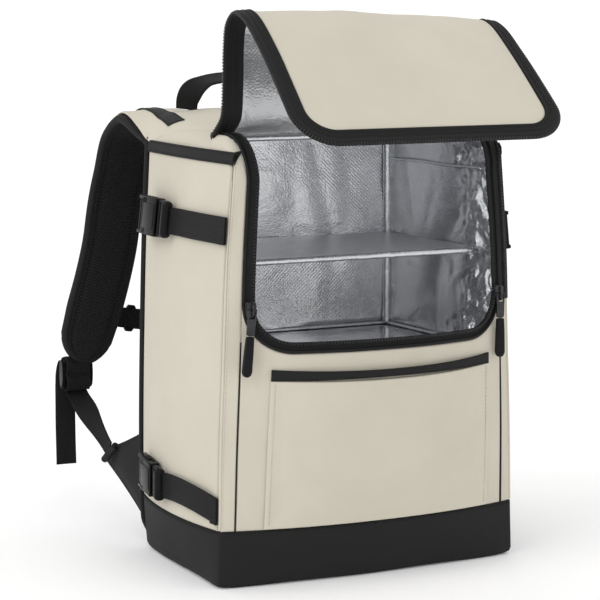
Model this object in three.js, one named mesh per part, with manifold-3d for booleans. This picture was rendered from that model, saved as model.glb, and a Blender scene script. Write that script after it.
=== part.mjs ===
// Insulated delivery backpack, standing on its base with the lid thrown open. Millimetres.
// X runs to the right seen from the front, Y to the back and Z up.
// The origin is the middle of the underside of the base.

import * as THREE from 'three';
import { mergeVertices } from 'three/addons/utils/BufferGeometryUtils.js';
import Module from 'manifold-3d';

const wasm = await Module();
wasm.setup();
const { lerp, smoothstep, degToRad } = THREE.MathUtils;

// Cloth thicknesses and the clearance between pieces that touch
const GAP = 0.3;
const PANEL = 5;
const BOOT_WALL = 4;
const TAPE = 2;
const FOIL = 1.5;

// Body outline by height: half widths at the front corner seam and at the back edge,
// how far a side swells, and the Y of the middle of the bowed front
const BODY_ROWS = [
  { z: 0, corner: 180, back: 168, bulge: 2, front: -112 },
  { z: 60, corner: 178, back: 172, bulge: 12, front: -126 },
  { z: 150, corner: 176, back: 172, bulge: 13, front: -138 },
  { z: 250, corner: 172, back: 170, bulge: 13, front: -146 },
  { z: 350, corner: 168, back: 167, bulge: 11, front: -144 },
  { z: 455, corner: 160, back: 162, bulge: 4, front: -132 },
];
const CORNER_Y = -100;
const BACK_Y = 115;
const BOW_POWER = 2.2;
const BOOT_TOP = 60;
const BOOT_FLOOR = 4;
const RIM_Z = 455;
const RIM_BAND = { low: 447.2, high: 459.2 };
const RIM_CORNER_R = 8;

// Top: how far it rises above the rim at the hinge and at the back, and how square its shoulders are
const TOP_RISE_FRONT = 20;
const TOP_RISE_BACK = 38;
const SHOULDER_POWER = 8;
const SHOULDER_ROUND = 0.6;

// Opening in the front, carried over the top to the lid's hinge
const ZIP_SHARE = 0.915;
const ZIP_HINGE_X = 152;
const ZIP_TAPE_WIDTH = 12;
const OPEN_Z = 250;
const OPEN_R = 50;
const EDGE_STEPS = 28;
const SHOULDER_Z = 430;
const SHOULDER_R = 45;
const SHOULDER_END = SHOULDER_Z + (SHOULDER_R * Math.PI) / 2;
const HINGE_Y = -40;
const HINGE_RUN = 20;
const HINGE_END = SHOULDER_END + HINGE_RUN;
const ZIP_END = HINGE_END - 12;

// Foil lining, with the floor and the shelf
const LINING_BACK_Y = 103;
const LINING_BACK_X = 133;
const LINING_FRONT_X = 145;
const LINING_FRONT_Y = -100;
const LINING_CLEAR = PANEL + 4 * GAP;
const LINING_ARCH_END = 0.9;
const LINING_ROOF = PANEL + 2.3;
const FLOOR_Z = 236;
const FLOOR_DEPTH = 4;
const SHELF_Z = 345;
const SHELF_DEPTH = 6;
const SHELF_FRONT_Y = -89;

// Front pocket
const POCKET_SHARE = 0.77;
const POCKET_SHIFT = 3;
const POCKET_Z = 233;
const POCKET_DIP = 4;
const POCKET_BAND = 11;
const POCKET_GAPE = 3;
const POCKET_CLOTH = 2;

// Lid: profile from the hinge, up the back, over the fold and down the front slope
const LID_ROWS = [
  { y: -40.4, z: 475.4 },
  { y: -56, z: 497 },
  { y: -62, z: 525 },
  { y: -63, z: 560 },
  { y: -68, z: 584 },
  { y: -87, z: 598 },
  { y: -109, z: 594 },
  { y: -150, z: 566 },
  { y: -200, z: 524 },
  { y: -251, z: 478 },
];
const LID_HALF = 156.5;
const LID_HINGE_SHARE = 0.955;
const LID_HINGE_RUN = 60;
const LID_SHIFT = 1.5;
const LID_BAND = 18;
const LID_CORNER = 45;
const LID_SEAM = 1;
const LID_SHELL = 4;
const LID_TILT = 7.5;
const LID_CROWN = 4;

// Zip slider and its pull, measured from the slider's middle
const SLIDER_Z = 297;
const SLIDER = { width: 11, height: 17, depth: 5 };
const BAIL = { half: 2, reach: 6.5, gap: 3.2, wire: 1.4 };
const PULL = { bar: 1.1, armInner: 3.3, armOuter: 5, eye: 9, end: 27, depth: 2 };
const GRIP = { half: 5, end: 70, depth: 4.8, bevel: 0.8 };
const LEFT_PULL_LEAN = 6;

// Side straps: height at the front and the back, where the buckle's front end lies,
// and which way the buckle points
const SIDE_STRAPS = [
  { name: 'upper_left', sign: -1, frontZ: 376, backZ: 377, buckleY: 17, toBack: 1 },
  { name: 'lower_left', sign: -1, frontZ: 84, backZ: 94, buckleY: 12, toBack: 1 },
  { name: 'upper_right', sign: 1, frontZ: 361, backZ: 361, buckleY: -16, toBack: -1 },
  { name: 'lower_right', sign: 1, frontZ: 84, backZ: 94, buckleY: 12, toBack: 1 },
];
const SIDE_WEB = 29;
const BUCKLE = { length: 72, half: 21, depth: 12, frame: 23, slot: 4, slotInset: 6, slotHalf: 15.5 };
const PRONG = { inner: 13, outer: 18.4, end: 50, depth: 5.6 };
const WINDOW = { start: 30, end: 45, inner: 16.8 };

// Shoulder strap, left: middle line of its outer face from the top of the back, over and down
const STRAP_ROWS = [
  { x: -134, y: 116.4, z: 484, half: 30 },
  { x: -135, y: 150, z: 493, half: 30 },
  { x: -136, y: 195, z: 489, half: 30 },
  { x: -138, y: 232, z: 463, half: 30 },
  { x: -141, y: 250, z: 415, half: 30 },
  { x: -147, y: 256, z: 375, half: 30 },
  { x: -153, y: 259, z: 328, half: 30 },
  { x: -163, y: 259, z: 287, half: 30 },
  { x: -175, y: 258, z: 249, half: 30 },
  { x: -184, y: 258, z: 220, half: 28 },
  { x: -189, y: 258, z: 203, half: 20 },
  { x: -191, y: 258, z: 197, half: 14 },
];
const STRAP_DEPTH = 12;
const STRAP_ROOT_DEPTH = 4;
const STRAP_ROOT_END = 0.16;
const STRAP_DROOP = 24;
const STRAP_STEPS = 24;
const STRAP_COVER = 2;
const STRAP_STRIP = { half: 10, steps: 5, depth: 1.5 };
const LADDER = { x: -194, y: 252, z: 174.6, half: 19, height: 36, depth: 8.9, slot: 5, slotHalf: 13.5 };
const STRAP_WEB = 25;
// Its webbing: from the wing's tip up behind the ladder lock, then over and down as a loose tail
const WEB_ROWS = [
  { x: -180.5, y: 197, z: 98 },
  { x: -186, y: 223, z: 121 },
  { x: -191, y: 248, z: 142 },
  { x: -194, y: 260.5, z: 153 },
  { x: -196, y: 264.5, z: 167 },
  { x: -197, y: 266, z: 183 },
  { x: -199, y: 270, z: 189 },
  { x: -201, y: 274, z: 181 },
  { x: -203, y: 274, z: 135 },
  { x: -204, y: 270, z: 70 },
];
const WING = { top: 130, bottom: 30, tipTopY: 180, tipTopZ: 109, tipLowY: 211, tipLowZ: 85, tipX: -180 };
const STERNUM = { startX: -145.2, z: 243, y: 253.3, sag: 12, buckleHalf: 22, width: 22, endLean: 19 };

// Carry handle: leg, arch and the turn of the webbing from flat legs to a flat top
const HANDLE = { legX: 119, legY: 108, rise: 36, width: 26, depth: 2.5, legTurn: 90, topTurn: -20 };

// Back panel
const BACK_PANEL = { bottom: 10, top: 476, archFrom: 440, archTop: 0.75, depthTop: 9, depthLow: 21, edge: 4 };
const PIPING_R = 2.3;

// Finishes: colour, roughness and metalness
const FINISHES = {
  cream: { color: 0xd9d2c2, roughness: 0.85, metalness: 0 },
  black: { color: 0x2a2a2a, roughness: 0.8, metalness: 0 },
  mesh: { color: 0x141414, roughness: 0.95, metalness: 0 },
  foil: { color: 0xb9bcc0, roughness: 0.3, metalness: 0.9 },
  metal: { color: 0x3a3a3c, roughness: 0.35, metalness: 0.9 },
  plastic: { color: 0x242425, roughness: 0.5, metalness: 0 },
};

const bag = new THREE.Group();

function add(name, geometry, finish) {
  const mesh = new THREE.Mesh(geometry, new THREE.MeshStandardMaterial(FINISHES[finish]));
  mesh.name = name;
  bag.add(mesh);
  return mesh;
}

const point = (x, y, z) => new THREE.Vector3(x, y, z);

// Smooth value of one column of a table, level beyond its first and last row
function through(rows, key, column, at) {
  const last = rows.length - 1;
  if (at <= rows[0][key]) return rows[0][column];
  if (at >= rows[last][key]) return rows[last][column];
  const i = rows.findIndex((row) => row[key] >= at) - 1;
  const slope = (k) => {
    const before = rows[Math.max(k - 1, 0)];
    const after = rows[Math.min(k + 1, last)];
    return (after[column] - before[column]) / (after[key] - before[key]);
  };
  const span = rows[i + 1][key] - rows[i][key];
  const t = (at - rows[i][key]) / span;
  const start = (1 + 2 * t) * (1 - t) ** 2 * rows[i][column];
  const end = t * t * (3 - 2 * t) * rows[i + 1][column];
  const leaving = t * (1 - t) ** 2 * span * slope(i);
  const arriving = t * t * (t - 1) * span * slope(i + 1);
  return start + end + leaving + arriving;
}

// Surfaces of the body
const bodyAt = (column, z) => through(BODY_ROWS, 'z', column, z);

function sideX(y, z) {
  const t = (y - CORNER_Y) / (BACK_Y - CORNER_Y);
  const swell = bodyAt('bulge', z) * (1 - (2 * t - 1) ** 2);
  return lerp(bodyAt('corner', z), bodyAt('back', z), t) + swell;
}

function frontY(x, z) {
  const middle = bodyAt('front', z);
  const share = Math.min(Math.abs(x) / bodyAt('corner', z), 1);
  return middle + (CORNER_Y - middle) * share ** BOW_POWER;
}

function topHalf(y) {
  return lerp(bodyAt('corner', RIM_Z), bodyAt('back', RIM_Z), (y - CORNER_Y) / (BACK_Y - CORNER_Y));
}

function topZ(x, y) {
  const rise = lerp(TOP_RISE_FRONT, TOP_RISE_BACK, (y - HINGE_Y) / (BACK_Y - HINGE_Y));
  const share = Math.min(Math.abs(x) / topHalf(y), 1);
  return RIM_Z + rise * (1 - share ** SHOULDER_POWER) ** SHOULDER_ROUND;
}

// Half width of the zip line, by the height up the front and then the way over the top
function zipX(way) {
  const low = ZIP_SHARE * bodyAt('corner', Math.min(way, SHOULDER_Z));
  const over = Math.max(way - SHOULDER_Z, 0) / (HINGE_END - SHOULDER_Z);
  return lerp(low, ZIP_HINGE_X, over);
}

// Point of the front, carried over the rounded shoulder to the hinge
function wrap(x, way) {
  if (way <= SHOULDER_Z) return point(x, frontY(x, way), way);
  const foot = frontY(x, SHOULDER_Z);
  const turn = Math.min((way - SHOULDER_Z) / SHOULDER_R, Math.PI / 2);
  const y = foot + SHOULDER_R * (1 - Math.cos(turn));
  const z = SHOULDER_Z + SHOULDER_R * Math.sin(turn);
  const flat = Math.max(way - SHOULDER_END, 0) / HINGE_RUN;
  return point(x, lerp(y, HINGE_Y, flat), z);
}

// Solid builders

function meshOf(points, triangles) {
  const geometry = new THREE.BufferGeometry().setFromPoints(points);
  geometry.setIndex(triangles);
  geometry.computeVertexNormals();
  return geometry;
}

// A sheet of even depth under a surface; facing is -1 where the surface's own sides run the other way
function slab(surface, depth, across, along, facing = 1) {
  const face = facing > 0 ? surface : (u, v) => surface(1 - u, v);
  const STEP = 1e-4;
  const sunk = (u, v) => {
    const du = face(Math.min(u + STEP, 1), v).sub(face(Math.max(u - STEP, 0), v));
    const dv = face(u, Math.min(v + STEP, 1)).sub(face(u, Math.max(v - STEP, 0)));
    return face(u, v).addScaledVector(du.cross(dv).normalize(), -depth);
  };
  return shell(face, sunk, across, along);
}

// A closed sheet between an outer and an inner surface
function shell(outerFace, innerFace, across, along) {
  const outer = [];
  const inner = [];
  for (let j = 0; j <= along; j++) {
    for (let i = 0; i <= across; i++) {
      outer.push(outerFace(i / across, j / along));
      inner.push(innerFace(i / across, j / along));
    }
  }
  const row = across + 1;
  const under = outer.length;
  const triangles = [];
  const wall = (p, q) => triangles.push(q, p, p + under, q, p + under, q + under);
  for (let j = 0; j < along; j++) {
    for (let i = 0; i < across; i++) {
      const a = j * row + i;
      const [b, c, d] = [a + 1, a + row + 1, a + row];
      triangles.push(a, b, c, a, c, d);
      triangles.push(a + under, c + under, b + under, a + under, d + under, c + under);
    }
  }
  for (let i = 0; i < across; i++) {
    wall(i, i + 1);
    wall(along * row + i + 1, along * row + i);
  }
  for (let j = 0; j < along; j++) {
    wall((j + 1) * row, j * row);
    wall(j * row + across, (j + 1) * row + across);
  }
  return meshOf([...outer, ...inner], triangles);
}

// Closed solid through rings of equally many points, each counter-clockwise seen from its end
function loft(rings) {
  const count = rings[0].length;
  const points = rings.flat();
  const triangles = [];
  for (let r = 0; r < rings.length - 1; r++) {
    for (let k = 0; k < count; k++) {
      const a = r * count + k;
      const b = r * count + ((k + 1) % count);
      triangles.push(a, b, b + count, a, b + count, a + count);
    }
  }
  for (const [ring, end] of [[0, -1], [rings.length - 1, 1]]) {
    const middle = new THREE.Vector3();
    for (const p of rings[ring]) middle.addScaledVector(p, 1 / count);
    points.push(middle);
    for (let k = 0; k < count; k++) {
      const a = ring * count + k;
      const b = ring * count + ((k + 1) % count);
      triangles.push(...(end > 0 ? [a, b, points.length - 1] : [b, a, points.length - 1]));
    }
  }
  return meshOf(points, triangles);
}

// The same geometry with its shared corners merged
function joined(geometry) {
  const bare = geometry.clone();
  bare.deleteAttribute('normal');
  bare.deleteAttribute('uv');
  return mergeVertices(bare, 1e-4);
}

function mirrored(geometry) {
  const copy = joined(geometry);
  copy.scale(-1, 1, 1);
  const index = copy.getIndex();
  for (let i = 0; i < index.count; i += 3) {
    const swap = index.getX(i);
    index.setX(i, index.getX(i + 1));
    index.setX(i + 1, swap);
  }
  return copy;
}

function addPair(name, left, finish) {
  add(`${name}_left`, left, finish);
  add(`${name}_right`, mirrored(left), finish);
}

function solid(geometry) {
  const merged = joined(geometry);
  const vertProperties = new Float32Array(merged.getAttribute('position').array);
  const triVerts = new Uint32Array(merged.getIndex().array);
  return new wasm.Manifold(new wasm.Mesh({ numProp: 3, vertProperties, triVerts }));
}

function geometryOf(body) {
  const mesh = body.getMesh();
  const geometry = new THREE.BufferGeometry();
  geometry.setAttribute('position', new THREE.BufferAttribute(mesh.vertProperties, 3));
  geometry.setIndex(new THREE.BufferAttribute(mesh.triVerts, 1));
  geometry.computeVertexNormals();
  return geometry;
}

function box(low, high) {
  const size = high.clone().sub(low);
  const middle = low.clone().add(high).multiplyScalar(0.5);
  return new THREE.BoxGeometry(size.x, size.y, size.z).translate(middle.x, middle.y, middle.z);
}

function curveOf(rows) {
  return new THREE.CatmullRomCurve3(rows.map((row) => point(row.x ?? 0, row.y, row.z)));
}

// Flat webbing along a curve; turn gives the direction across it at each share of its length
function ribbon(curve, width, depth, steps, turn) {
  const surface = (u, v) => curve.getPointAt(v).addScaledVector(turn(v), (u - 0.5) * width);
  return slab(surface, depth, 1, steps);
}

// Base: a tray with rounded lower edges

function bodyRing(z, inset) {
  const FRONT_STEPS = 14;
  const SIDE_STEPS = 5;
  const corner = bodyAt('corner', z);
  const sideRow = (sign, share) => {
    const y = lerp(CORNER_Y + inset, BACK_Y - inset, share);
    return point(sign * (sideX(y, z) - inset), y, z);
  };
  const ring = [];
  for (let i = 1; i < FRONT_STEPS; i++) {
    const x = lerp(-corner, corner, i / FRONT_STEPS);
    ring.push(point(x * (1 - inset / corner), frontY(x, z) + inset, z));
  }
  for (let i = 0; i <= SIDE_STEPS; i++) ring.push(sideRow(1, i / SIDE_STEPS));
  for (let i = SIDE_STEPS; i >= 0; i--) ring.push(sideRow(-1, i / SIDE_STEPS));
  return ring;
}

function baseBoot() {
  const HEEL_ROWS = [
    { z: 0, inset: 4 },
    { z: 1.5, inset: 1.6 },
    { z: 5, inset: 0.4 },
    { z: 20, inset: 0 },
    { z: 40, inset: 0 },
    { z: BOOT_TOP, inset: 0 },
  ];
  const outer = loft(HEEL_ROWS.map((row) => bodyRing(row.z, row.inset)));
  const inner = loft([BOOT_FLOOR, BOOT_TOP / 2, BOOT_TOP + 1].map((z) => bodyRing(z, BOOT_WALL)));
  return geometryOf(solid(outer).subtract(solid(inner)));
}

// Walls of the body

function sidePanel() {
  const front = CORNER_Y + PANEL + GAP;
  const top = RIM_Z - PANEL - TAPE;
  const round = RIM_CORNER_R + PANEL + 4 * GAP;
  return slab((u, v) => {
    const y = lerp(front, BACK_Y, u);
    const beyond = Math.max(CORNER_Y + round - y, 0);
    const high = top - round + Math.sqrt(round ** 2 - beyond ** 2);
    const z = lerp(BOOT_TOP + GAP, high, v);
    return point(-sideX(y, z), y, z);
  }, PANEL, 7, 8, -1);
}

// Outer edge of the gusset where it leaves the corner seam and runs back along the rim
function rimPoint(share) {
  const upright = RIM_Z - RIM_CORNER_R - SHOULDER_Z;
  const arc = (RIM_CORNER_R * Math.PI) / 2;
  const backRun = HINGE_Y - (CORNER_Y + RIM_CORNER_R);
  const way = share * (upright + arc + backRun);
  const turn = THREE.MathUtils.clamp((way - upright) / RIM_CORNER_R, 0, Math.PI / 2);
  const y = CORNER_Y + RIM_CORNER_R * (1 - Math.cos(turn)) + Math.max(way - upright - arc, 0);
  const z = SHOULDER_Z + Math.min(way, upright) + RIM_CORNER_R * Math.sin(turn);
  return point(-lerp(bodyAt('corner', z), topHalf(y), share), y, z);
}

function frontGusset() {
  const start = BOOT_TOP + GAP;
  return slab((u, v) => {
    const way = lerp(start, HINGE_END, v);
    const zip = zipX(way);
    if (way <= SHOULDER_Z) return wrap(-lerp(zip, bodyAt('corner', way), u), way);
    const over = (way - SHOULDER_Z) / (HINGE_END - SHOULDER_Z);
    const inner = wrap(-zip, way);
    const outer = rimPoint(over);
    const middle = inner.clone().add(outer).multiplyScalar(0.5);
    const crest = point(outer.x, middle.y, inner.z);
    const bend = middle.lerp(crest, smoothstep(over, 0, 0.5));
    return inner.multiplyScalar((1 - u) ** 2)
      .addScaledVector(bend, 2 * u * (1 - u)).addScaledVector(outer, u * u);
  }, PANEL, 3, 22, -1);
}

// Lower edge of the opening with its round corners, u from left to right, drawn in by inset
function openingEdge(u, inset) {
  const flat = zipX(OPEN_Z + OPEN_R) - OPEN_R;
  const way = (2 * u - 1) * (flat + (OPEN_R * Math.PI) / 2);
  const turn = Math.max(Math.abs(way) - flat, 0) / OPEN_R;
  const r = OPEN_R - inset;
  const x = Math.sign(way) * (Math.min(Math.abs(way), flat) + r * Math.sin(turn));
  return { x, z: OPEN_Z + OPEN_R - r * Math.cos(turn) };
}

function frontPanel() {
  return slab((u, v) => {
    const edge = openingEdge(u, 0);
    const z = lerp(BOOT_TOP + GAP, edge.z, v);
    const share = lerp(2 * u - 1, edge.x / zipX(edge.z), v);
    return wrap(share * (zipX(z) - GAP), z);
  }, PANEL, EDGE_STEPS, 4);
}

function topPanel() {
  return slab((u, v) => {
    const share = 2 * u - 1;
    const spread = Math.sign(share) * (1 - (1 - Math.abs(share)) ** 2);
    const y = lerp(HINGE_Y + GAP, BACK_Y, v);
    const x = spread * topHalf(y);
    return point(x, y, topZ(x, y));
  }, PANEL, 14, 4);
}

function topBand() {
  return slab((u, v) => {
    const y = lerp(CORNER_Y + RIM_CORNER_R, BACK_Y, u);
    const z = lerp(RIM_BAND.low, RIM_BAND.high, v);
    return point(-(sideX(y, Math.min(z, RIM_Z)) + GAP + TAPE), y, z);
  }, TAPE, 8, 2, -1);
}

function backPanel() {
  const ring = (share) => {
    const z = lerp(BACK_PANEL.bottom, BACK_PANEL.top, share);
    const arch = Math.max(z - BACK_PANEL.archFrom, 0) / (BACK_PANEL.top - BACK_PANEL.archFrom);
    const half = (bodyAt('back', z) - PIPING_R - GAP * 4) * lerp(1, BACK_PANEL.archTop, arch ** 3);
    const swell = lerp(BACK_PANEL.depthLow, BACK_PANEL.depthTop, smoothstep(z, BOOT_TOP, BACK_PANEL.top));
    const ends = Math.sqrt(1 - (2 * share - 1) ** 10);
    const depth = lerp(BACK_PANEL.edge, swell, ends);
    const face = BACK_Y + GAP;
    const SPREAD = [-1, -0.94, -0.7, 0, 0.7, 0.94, 1];
    const outline = SPREAD.map((s) => {
      const deep = Math.abs(s) === 1 ? depth * 0.45 : depth * (1 - 0.12 * Math.abs(s));
      return point(-s * half, face + deep, z);
    });
    return [point(-half, face, z), point(half, face, z), ...outline];
  };
  const SHARES = [0, 0.01, 0.04, 0.12, 0.3, 0.5, 0.7, 0.88, 0.94, 0.965, 0.985, 1];
  return loft(SHARES.map(ring));
}

function backPiping(sign) {
  const HEIGHTS = [20, 90, 160, 240, 320, 400, RIM_Z];
  const edge = HEIGHTS.map((z) => point(sign * bodyAt('back', z), BACK_Y + PIPING_R + GAP, z));
  const extrudePath = new THREE.CatmullRomCurve3(edge);
  const section = new THREE.Shape().absarc(0, 0, PIPING_R, 0, Math.PI * 2);
  return new THREE.ExtrudeGeometry(section, { extrudePath, steps: 10, curveSegments: 4 });
}

// Foil lining

function liningX(y) {
  const share = (LINING_BACK_Y - y) / (LINING_BACK_Y - LINING_FRONT_Y);
  return lerp(LINING_BACK_X, LINING_FRONT_X, share);
}

// Height of the lining under the top panel, and of the walls that end below it
const roofZ = (x, y) => topZ(x, y) - LINING_ROOF;
const wallTop = (x, y) => roofZ(x, y) - 1.5 * FOIL - GAP;

function liningSide() {
  const arch = SHOULDER_R - LINING_CLEAR;
  const back = LINING_BACK_Y - GAP;
  return slab((u, v) => {
    const roofY = Math.max(lerp(LINING_FRONT_Y, back, u), HINGE_Y);
    const z = lerp(FLOOR_Z + GAP, wallTop(liningX(roofY) + FOIL, roofY), v);
    const over = THREE.MathUtils.clamp((z - SHOULDER_Z) / arch, 0, LINING_ARCH_END);
    const foot = frontY(LINING_FRONT_X + FOIL, Math.min(z, SHOULDER_Z));
    const front = foot + SHOULDER_R - arch * Math.sqrt(1 - over ** 2);
    const y = lerp(front, back, u);
    return point(-liningX(y), y, z);
  }, FOIL, 4, 6);
}

function liningBack() {
  const half = LINING_BACK_X + FOIL;
  return slab((u, v) => {
    const x = lerp(-half, half, u);
    const z = lerp(FLOOR_Z + GAP, wallTop(x, LINING_BACK_Y + FOIL), v);
    return point(x, LINING_BACK_Y, z);
  }, FOIL, 8, 1);
}

function liningTop() {
  return slab((u, v) => {
    const y = lerp(HINGE_Y + GAP, LINING_BACK_Y + FOIL, v);
    const x = (2 * u - 1) * (liningX(y) + FOIL);
    return point(x, y, roofZ(x, y));
  }, FOIL, 8, 3);
}

function liningFloor() {
  return slab((u, v) => {
    const share = 2 * u - 1;
    const back = LINING_BACK_Y - GAP;
    const front = frontY(share * LINING_FRONT_X, FLOOR_Z) + PANEL + TAPE;
    const y = lerp(front, back, v);
    const half = Math.min(liningX(y), LINING_FRONT_X) + FOIL;
    return point(share * half, y, FLOOR_Z);
  }, FLOOR_DEPTH, 10, 3);
}

function shelf() {
  return slab((u, v) => {
    const y = lerp(SHELF_FRONT_Y, LINING_BACK_Y - GAP, v);
    return point((2 * u - 1) * (liningX(y) - GAP), y, SHELF_Z);
  }, SHELF_DEPTH, 2, 2);
}

// Zip tape beside the opening and the binding along its lower edge

function zipTape() {
  return slab((u, v) => {
    const way = lerp(OPEN_Z + OPEN_R + GAP, ZIP_END, v);
    return wrap(-(zipX(way) - lerp(GAP, ZIP_TAPE_WIDTH, u)), way);
  }, TAPE, 2, 18);
}

function openingBinding() {
  return slab((u, v) => {
    const edge = openingEdge(u, lerp(2 * GAP, ZIP_TAPE_WIDTH, v));
    return wrap(edge.x, edge.z);
  }, TAPE + 1, EDGE_STEPS, 1);
}

// Front pocket: a slack sheet over the front panel, with a bound mouth

function pocketSheet(low, high, depth, along) {
  return slab((u, v) => {
    const share = 2 * u - 1;
    const dip = POCKET_DIP * (1 - share ** 2);
    const z = lerp(low, high - dip, v);
    const x = POCKET_SHIFT + share * POCKET_SHARE * bodyAt('corner', z);
    const gape = POCKET_GAPE * (1 - share ** 4) * smoothstep(z, BOOT_TOP, POCKET_Z);
    return point(x, frontY(x, z) - 2 * GAP - gape - depth, z);
  }, depth, 16, along);
}

// Lid

const lidCurve = curveOf(LID_ROWS);
const lidLength = lidCurve.getLength();

// Point of the lid at x and a way from the hinge, sunk below its outer face
function lidPoint(x, way, sink) {
  const t = THREE.MathUtils.clamp(way / lidLength, 0, 1);
  const at = lidCurve.getPointAt(t);
  const heading = lidCurve.getTangentAt(t);
  const loose = Math.sin(Math.PI * t) ** 2;
  const crown = LID_CROWN * loose * (1 - (x / LID_HALF) ** 2);
  at.addScaledVector(point(0, heading.z, -heading.y), crown - sink);
  const drawn = lerp(LID_HINGE_SHARE, 1, smoothstep(way, 0, LID_HINGE_RUN));
  return at.add(point(x * drawn + LID_SHIFT * loose, 0, -LID_TILT * loose * (x / LID_HALF)));
}

function lidSheet(sink, depth) {
  const half = LID_HALF - LID_BAND;
  const end = lidLength - LID_BAND - GAP;
  const round = LID_CORNER - LID_BAND;
  return slab((u, v) => {
    const way = end * v;
    const beyond = Math.max(way - (end - round), 0);
    const pulled = round - Math.sqrt(Math.max(round ** 2 - beyond ** 2, 0));
    return lidPoint((2 * u - 1) * (half - LID_SEAM - pulled), way, sink);
  }, depth, 8, 16, -1);
}

function lidBinding() {
  const straight = lidLength - LID_CORNER;
  const arc = (LID_CORNER * Math.PI) / 2;
  const flat = LID_HALF - LID_CORNER;
  const whole = straight + arc + flat;
  const ALONG = 68;
  return slab((u, v) => {
    const inset = lerp(0, LID_BAND, u);
    const way = lerp(-whole, whole, v);
    const side = Math.sign(way) || 1;
    const fromHinge = whole - Math.abs(way);
    const turn = THREE.MathUtils.clamp((fromHinge - straight) / LID_CORNER, 0, Math.PI / 2);
    const r = LID_CORNER - inset;
    const x = flat + r * Math.cos(turn) - Math.max(fromHinge - straight - arc, 0);
    return lidPoint(side * x, Math.min(fromHinge, straight) + r * Math.sin(turn), 0);
  }, LID_SHELL + FOIL + GAP, 1, ALONG, -1);
}

// Zip sliders with hinged pulls

function sliderBody() {
  const { width, height, depth } = SLIDER;
  const outline = new THREE.Shape();
  outline.moveTo(-width * 0.3, -height / 2);
  outline.lineTo(width * 0.3, -height / 2);
  outline.lineTo(width / 2, 0);
  outline.lineTo(width / 2, height / 2);
  outline.lineTo(-width / 2, height / 2);
  outline.lineTo(-width / 2, 0);
  const plate = new THREE.ExtrudeGeometry(outline, { depth, bevelEnabled: false }).rotateX(Math.PI / 2);
  const out = -(depth + BAIL.gap);
  const post = (z) => solid(box(
    point(-BAIL.half, out - BAIL.wire, z - BAIL.wire), point(BAIL.half, -depth + 0.5, z + BAIL.wire)));
  const bridge = solid(box(
    point(-BAIL.half, out - BAIL.wire, -BAIL.reach), point(BAIL.half, out, BAIL.reach)));
  return geometryOf(solid(plate).add(post(-BAIL.reach)).add(post(BAIL.reach)).add(bridge));
}

function pullTab() {
  const { bar, armInner, armOuter, eye, end, depth } = PULL;
  const crossbar = new THREE.CylinderGeometry(bar, bar, armOuter * 2, 10).rotateZ(Math.PI / 2);
  const half = depth / 2;
  const arm = (sign) => {
    const [x0, x1] = [sign * armInner, sign * armOuter].sort((a, b) => a - b);
    return solid(box(point(x0, -half, -eye - 1), point(x1, half, half)));
  };
  const plate = solid(box(point(-armOuter, -half, -end), point(armOuter, half, -eye)));
  return geometryOf(solid(crossbar).add(arm(-1)).add(arm(1)).add(plate));
}

function pullGrip() {
  const { half, end, depth, bevel } = GRIP;
  const top = -PULL.end - GAP - bevel;
  const low = -end + bevel;
  const wide = half - bevel;
  const outline = new THREE.Shape();
  outline.moveTo(-wide * 0.8, top);
  outline.lineTo(-wide, lerp(top, low, 0.6));
  outline.absarc(0, low + wide, wide, Math.PI, Math.PI * 2);
  outline.lineTo(wide * 0.8, top);
  const body = new THREE.ExtrudeGeometry(outline, {
    depth: depth - 2 * bevel, bevelSize: bevel, bevelThickness: bevel, bevelSegments: 1, curveSegments: 5,
  });
  return body.rotateX(Math.PI / 2).translate(0, depth / 2 - bevel, 0);
}

function zipHardware(side, sign) {
  const x = sign * (zipX(SLIDER_Z) - ZIP_TAPE_WIDTH / 2);
  const hinge = new THREE.Group();
  const innerX = Math.abs(x) - SLIDER.width / 2;
  const ends = [SLIDER_Z - SLIDER.height / 2, SLIDER_Z + SLIDER.height / 2];
  const seat = Math.min(...ends.map((z) => frontY(innerX, z)));
  const slider = add(`zip_slider_${side}`, sliderBody(), 'metal');
  slider.position.set(x, seat - GAP, SLIDER_Z);
  hinge.position.set(x, seat - GAP - SLIDER.depth - BAIL.gap / 2, SLIDER_Z);
  hinge.add(add(`zip_pull_${side}`, pullTab(), 'metal'));
  hinge.add(add(`zip_grip_${side}`, pullGrip(), 'plastic'));
  hinge.rotation.y = degToRad(sign < 0 ? LEFT_PULL_LEAN : 0);
  bag.add(hinge);
}

// Side straps with release buckles

function slotted(outline, start, end, half) {
  const slot = new THREE.Path();
  slot.moveTo(start, -half);
  slot.lineTo(end, -half);
  slot.lineTo(end, half);
  slot.lineTo(start, half);
  outline.holes.push(slot);
  return outline;
}

function buckleSocket() {
  const { length, half, depth, frame, slot, slotInset, slotHalf } = BUCKLE;
  const outline = new THREE.Shape();
  const CHAMFER = 4;
  outline.moveTo(frame + GAP, -half);
  outline.lineTo(length - CHAMFER, -half);
  outline.lineTo(length, -half + CHAMFER);
  outline.lineTo(length, half - CHAMFER);
  outline.lineTo(length - CHAMFER, half);
  outline.lineTo(frame + GAP, half);
  slotted(outline, length - slotInset - slot, length - slotInset, slotHalf);
  const body = solid(new THREE.ExtrudeGeometry(outline, { depth, bevelEnabled: false }));
  const low = (depth - PRONG.depth) / 2 - GAP;
  const high = depth - low;
  const channel = solid(box(point(0, -PRONG.outer - GAP, low), point(PRONG.end + GAP, PRONG.outer + GAP, high)));
  const window = (sign) => {
    const [y0, y1] = [sign * WINDOW.inner, sign * (half + 1)].sort((a, b) => a - b);
    return solid(box(point(WINDOW.start, y0, low), point(WINDOW.end, y1, high)));
  };
  return geometryOf(body.subtract(channel).subtract(window(-1)).subtract(window(1)));
}

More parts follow.
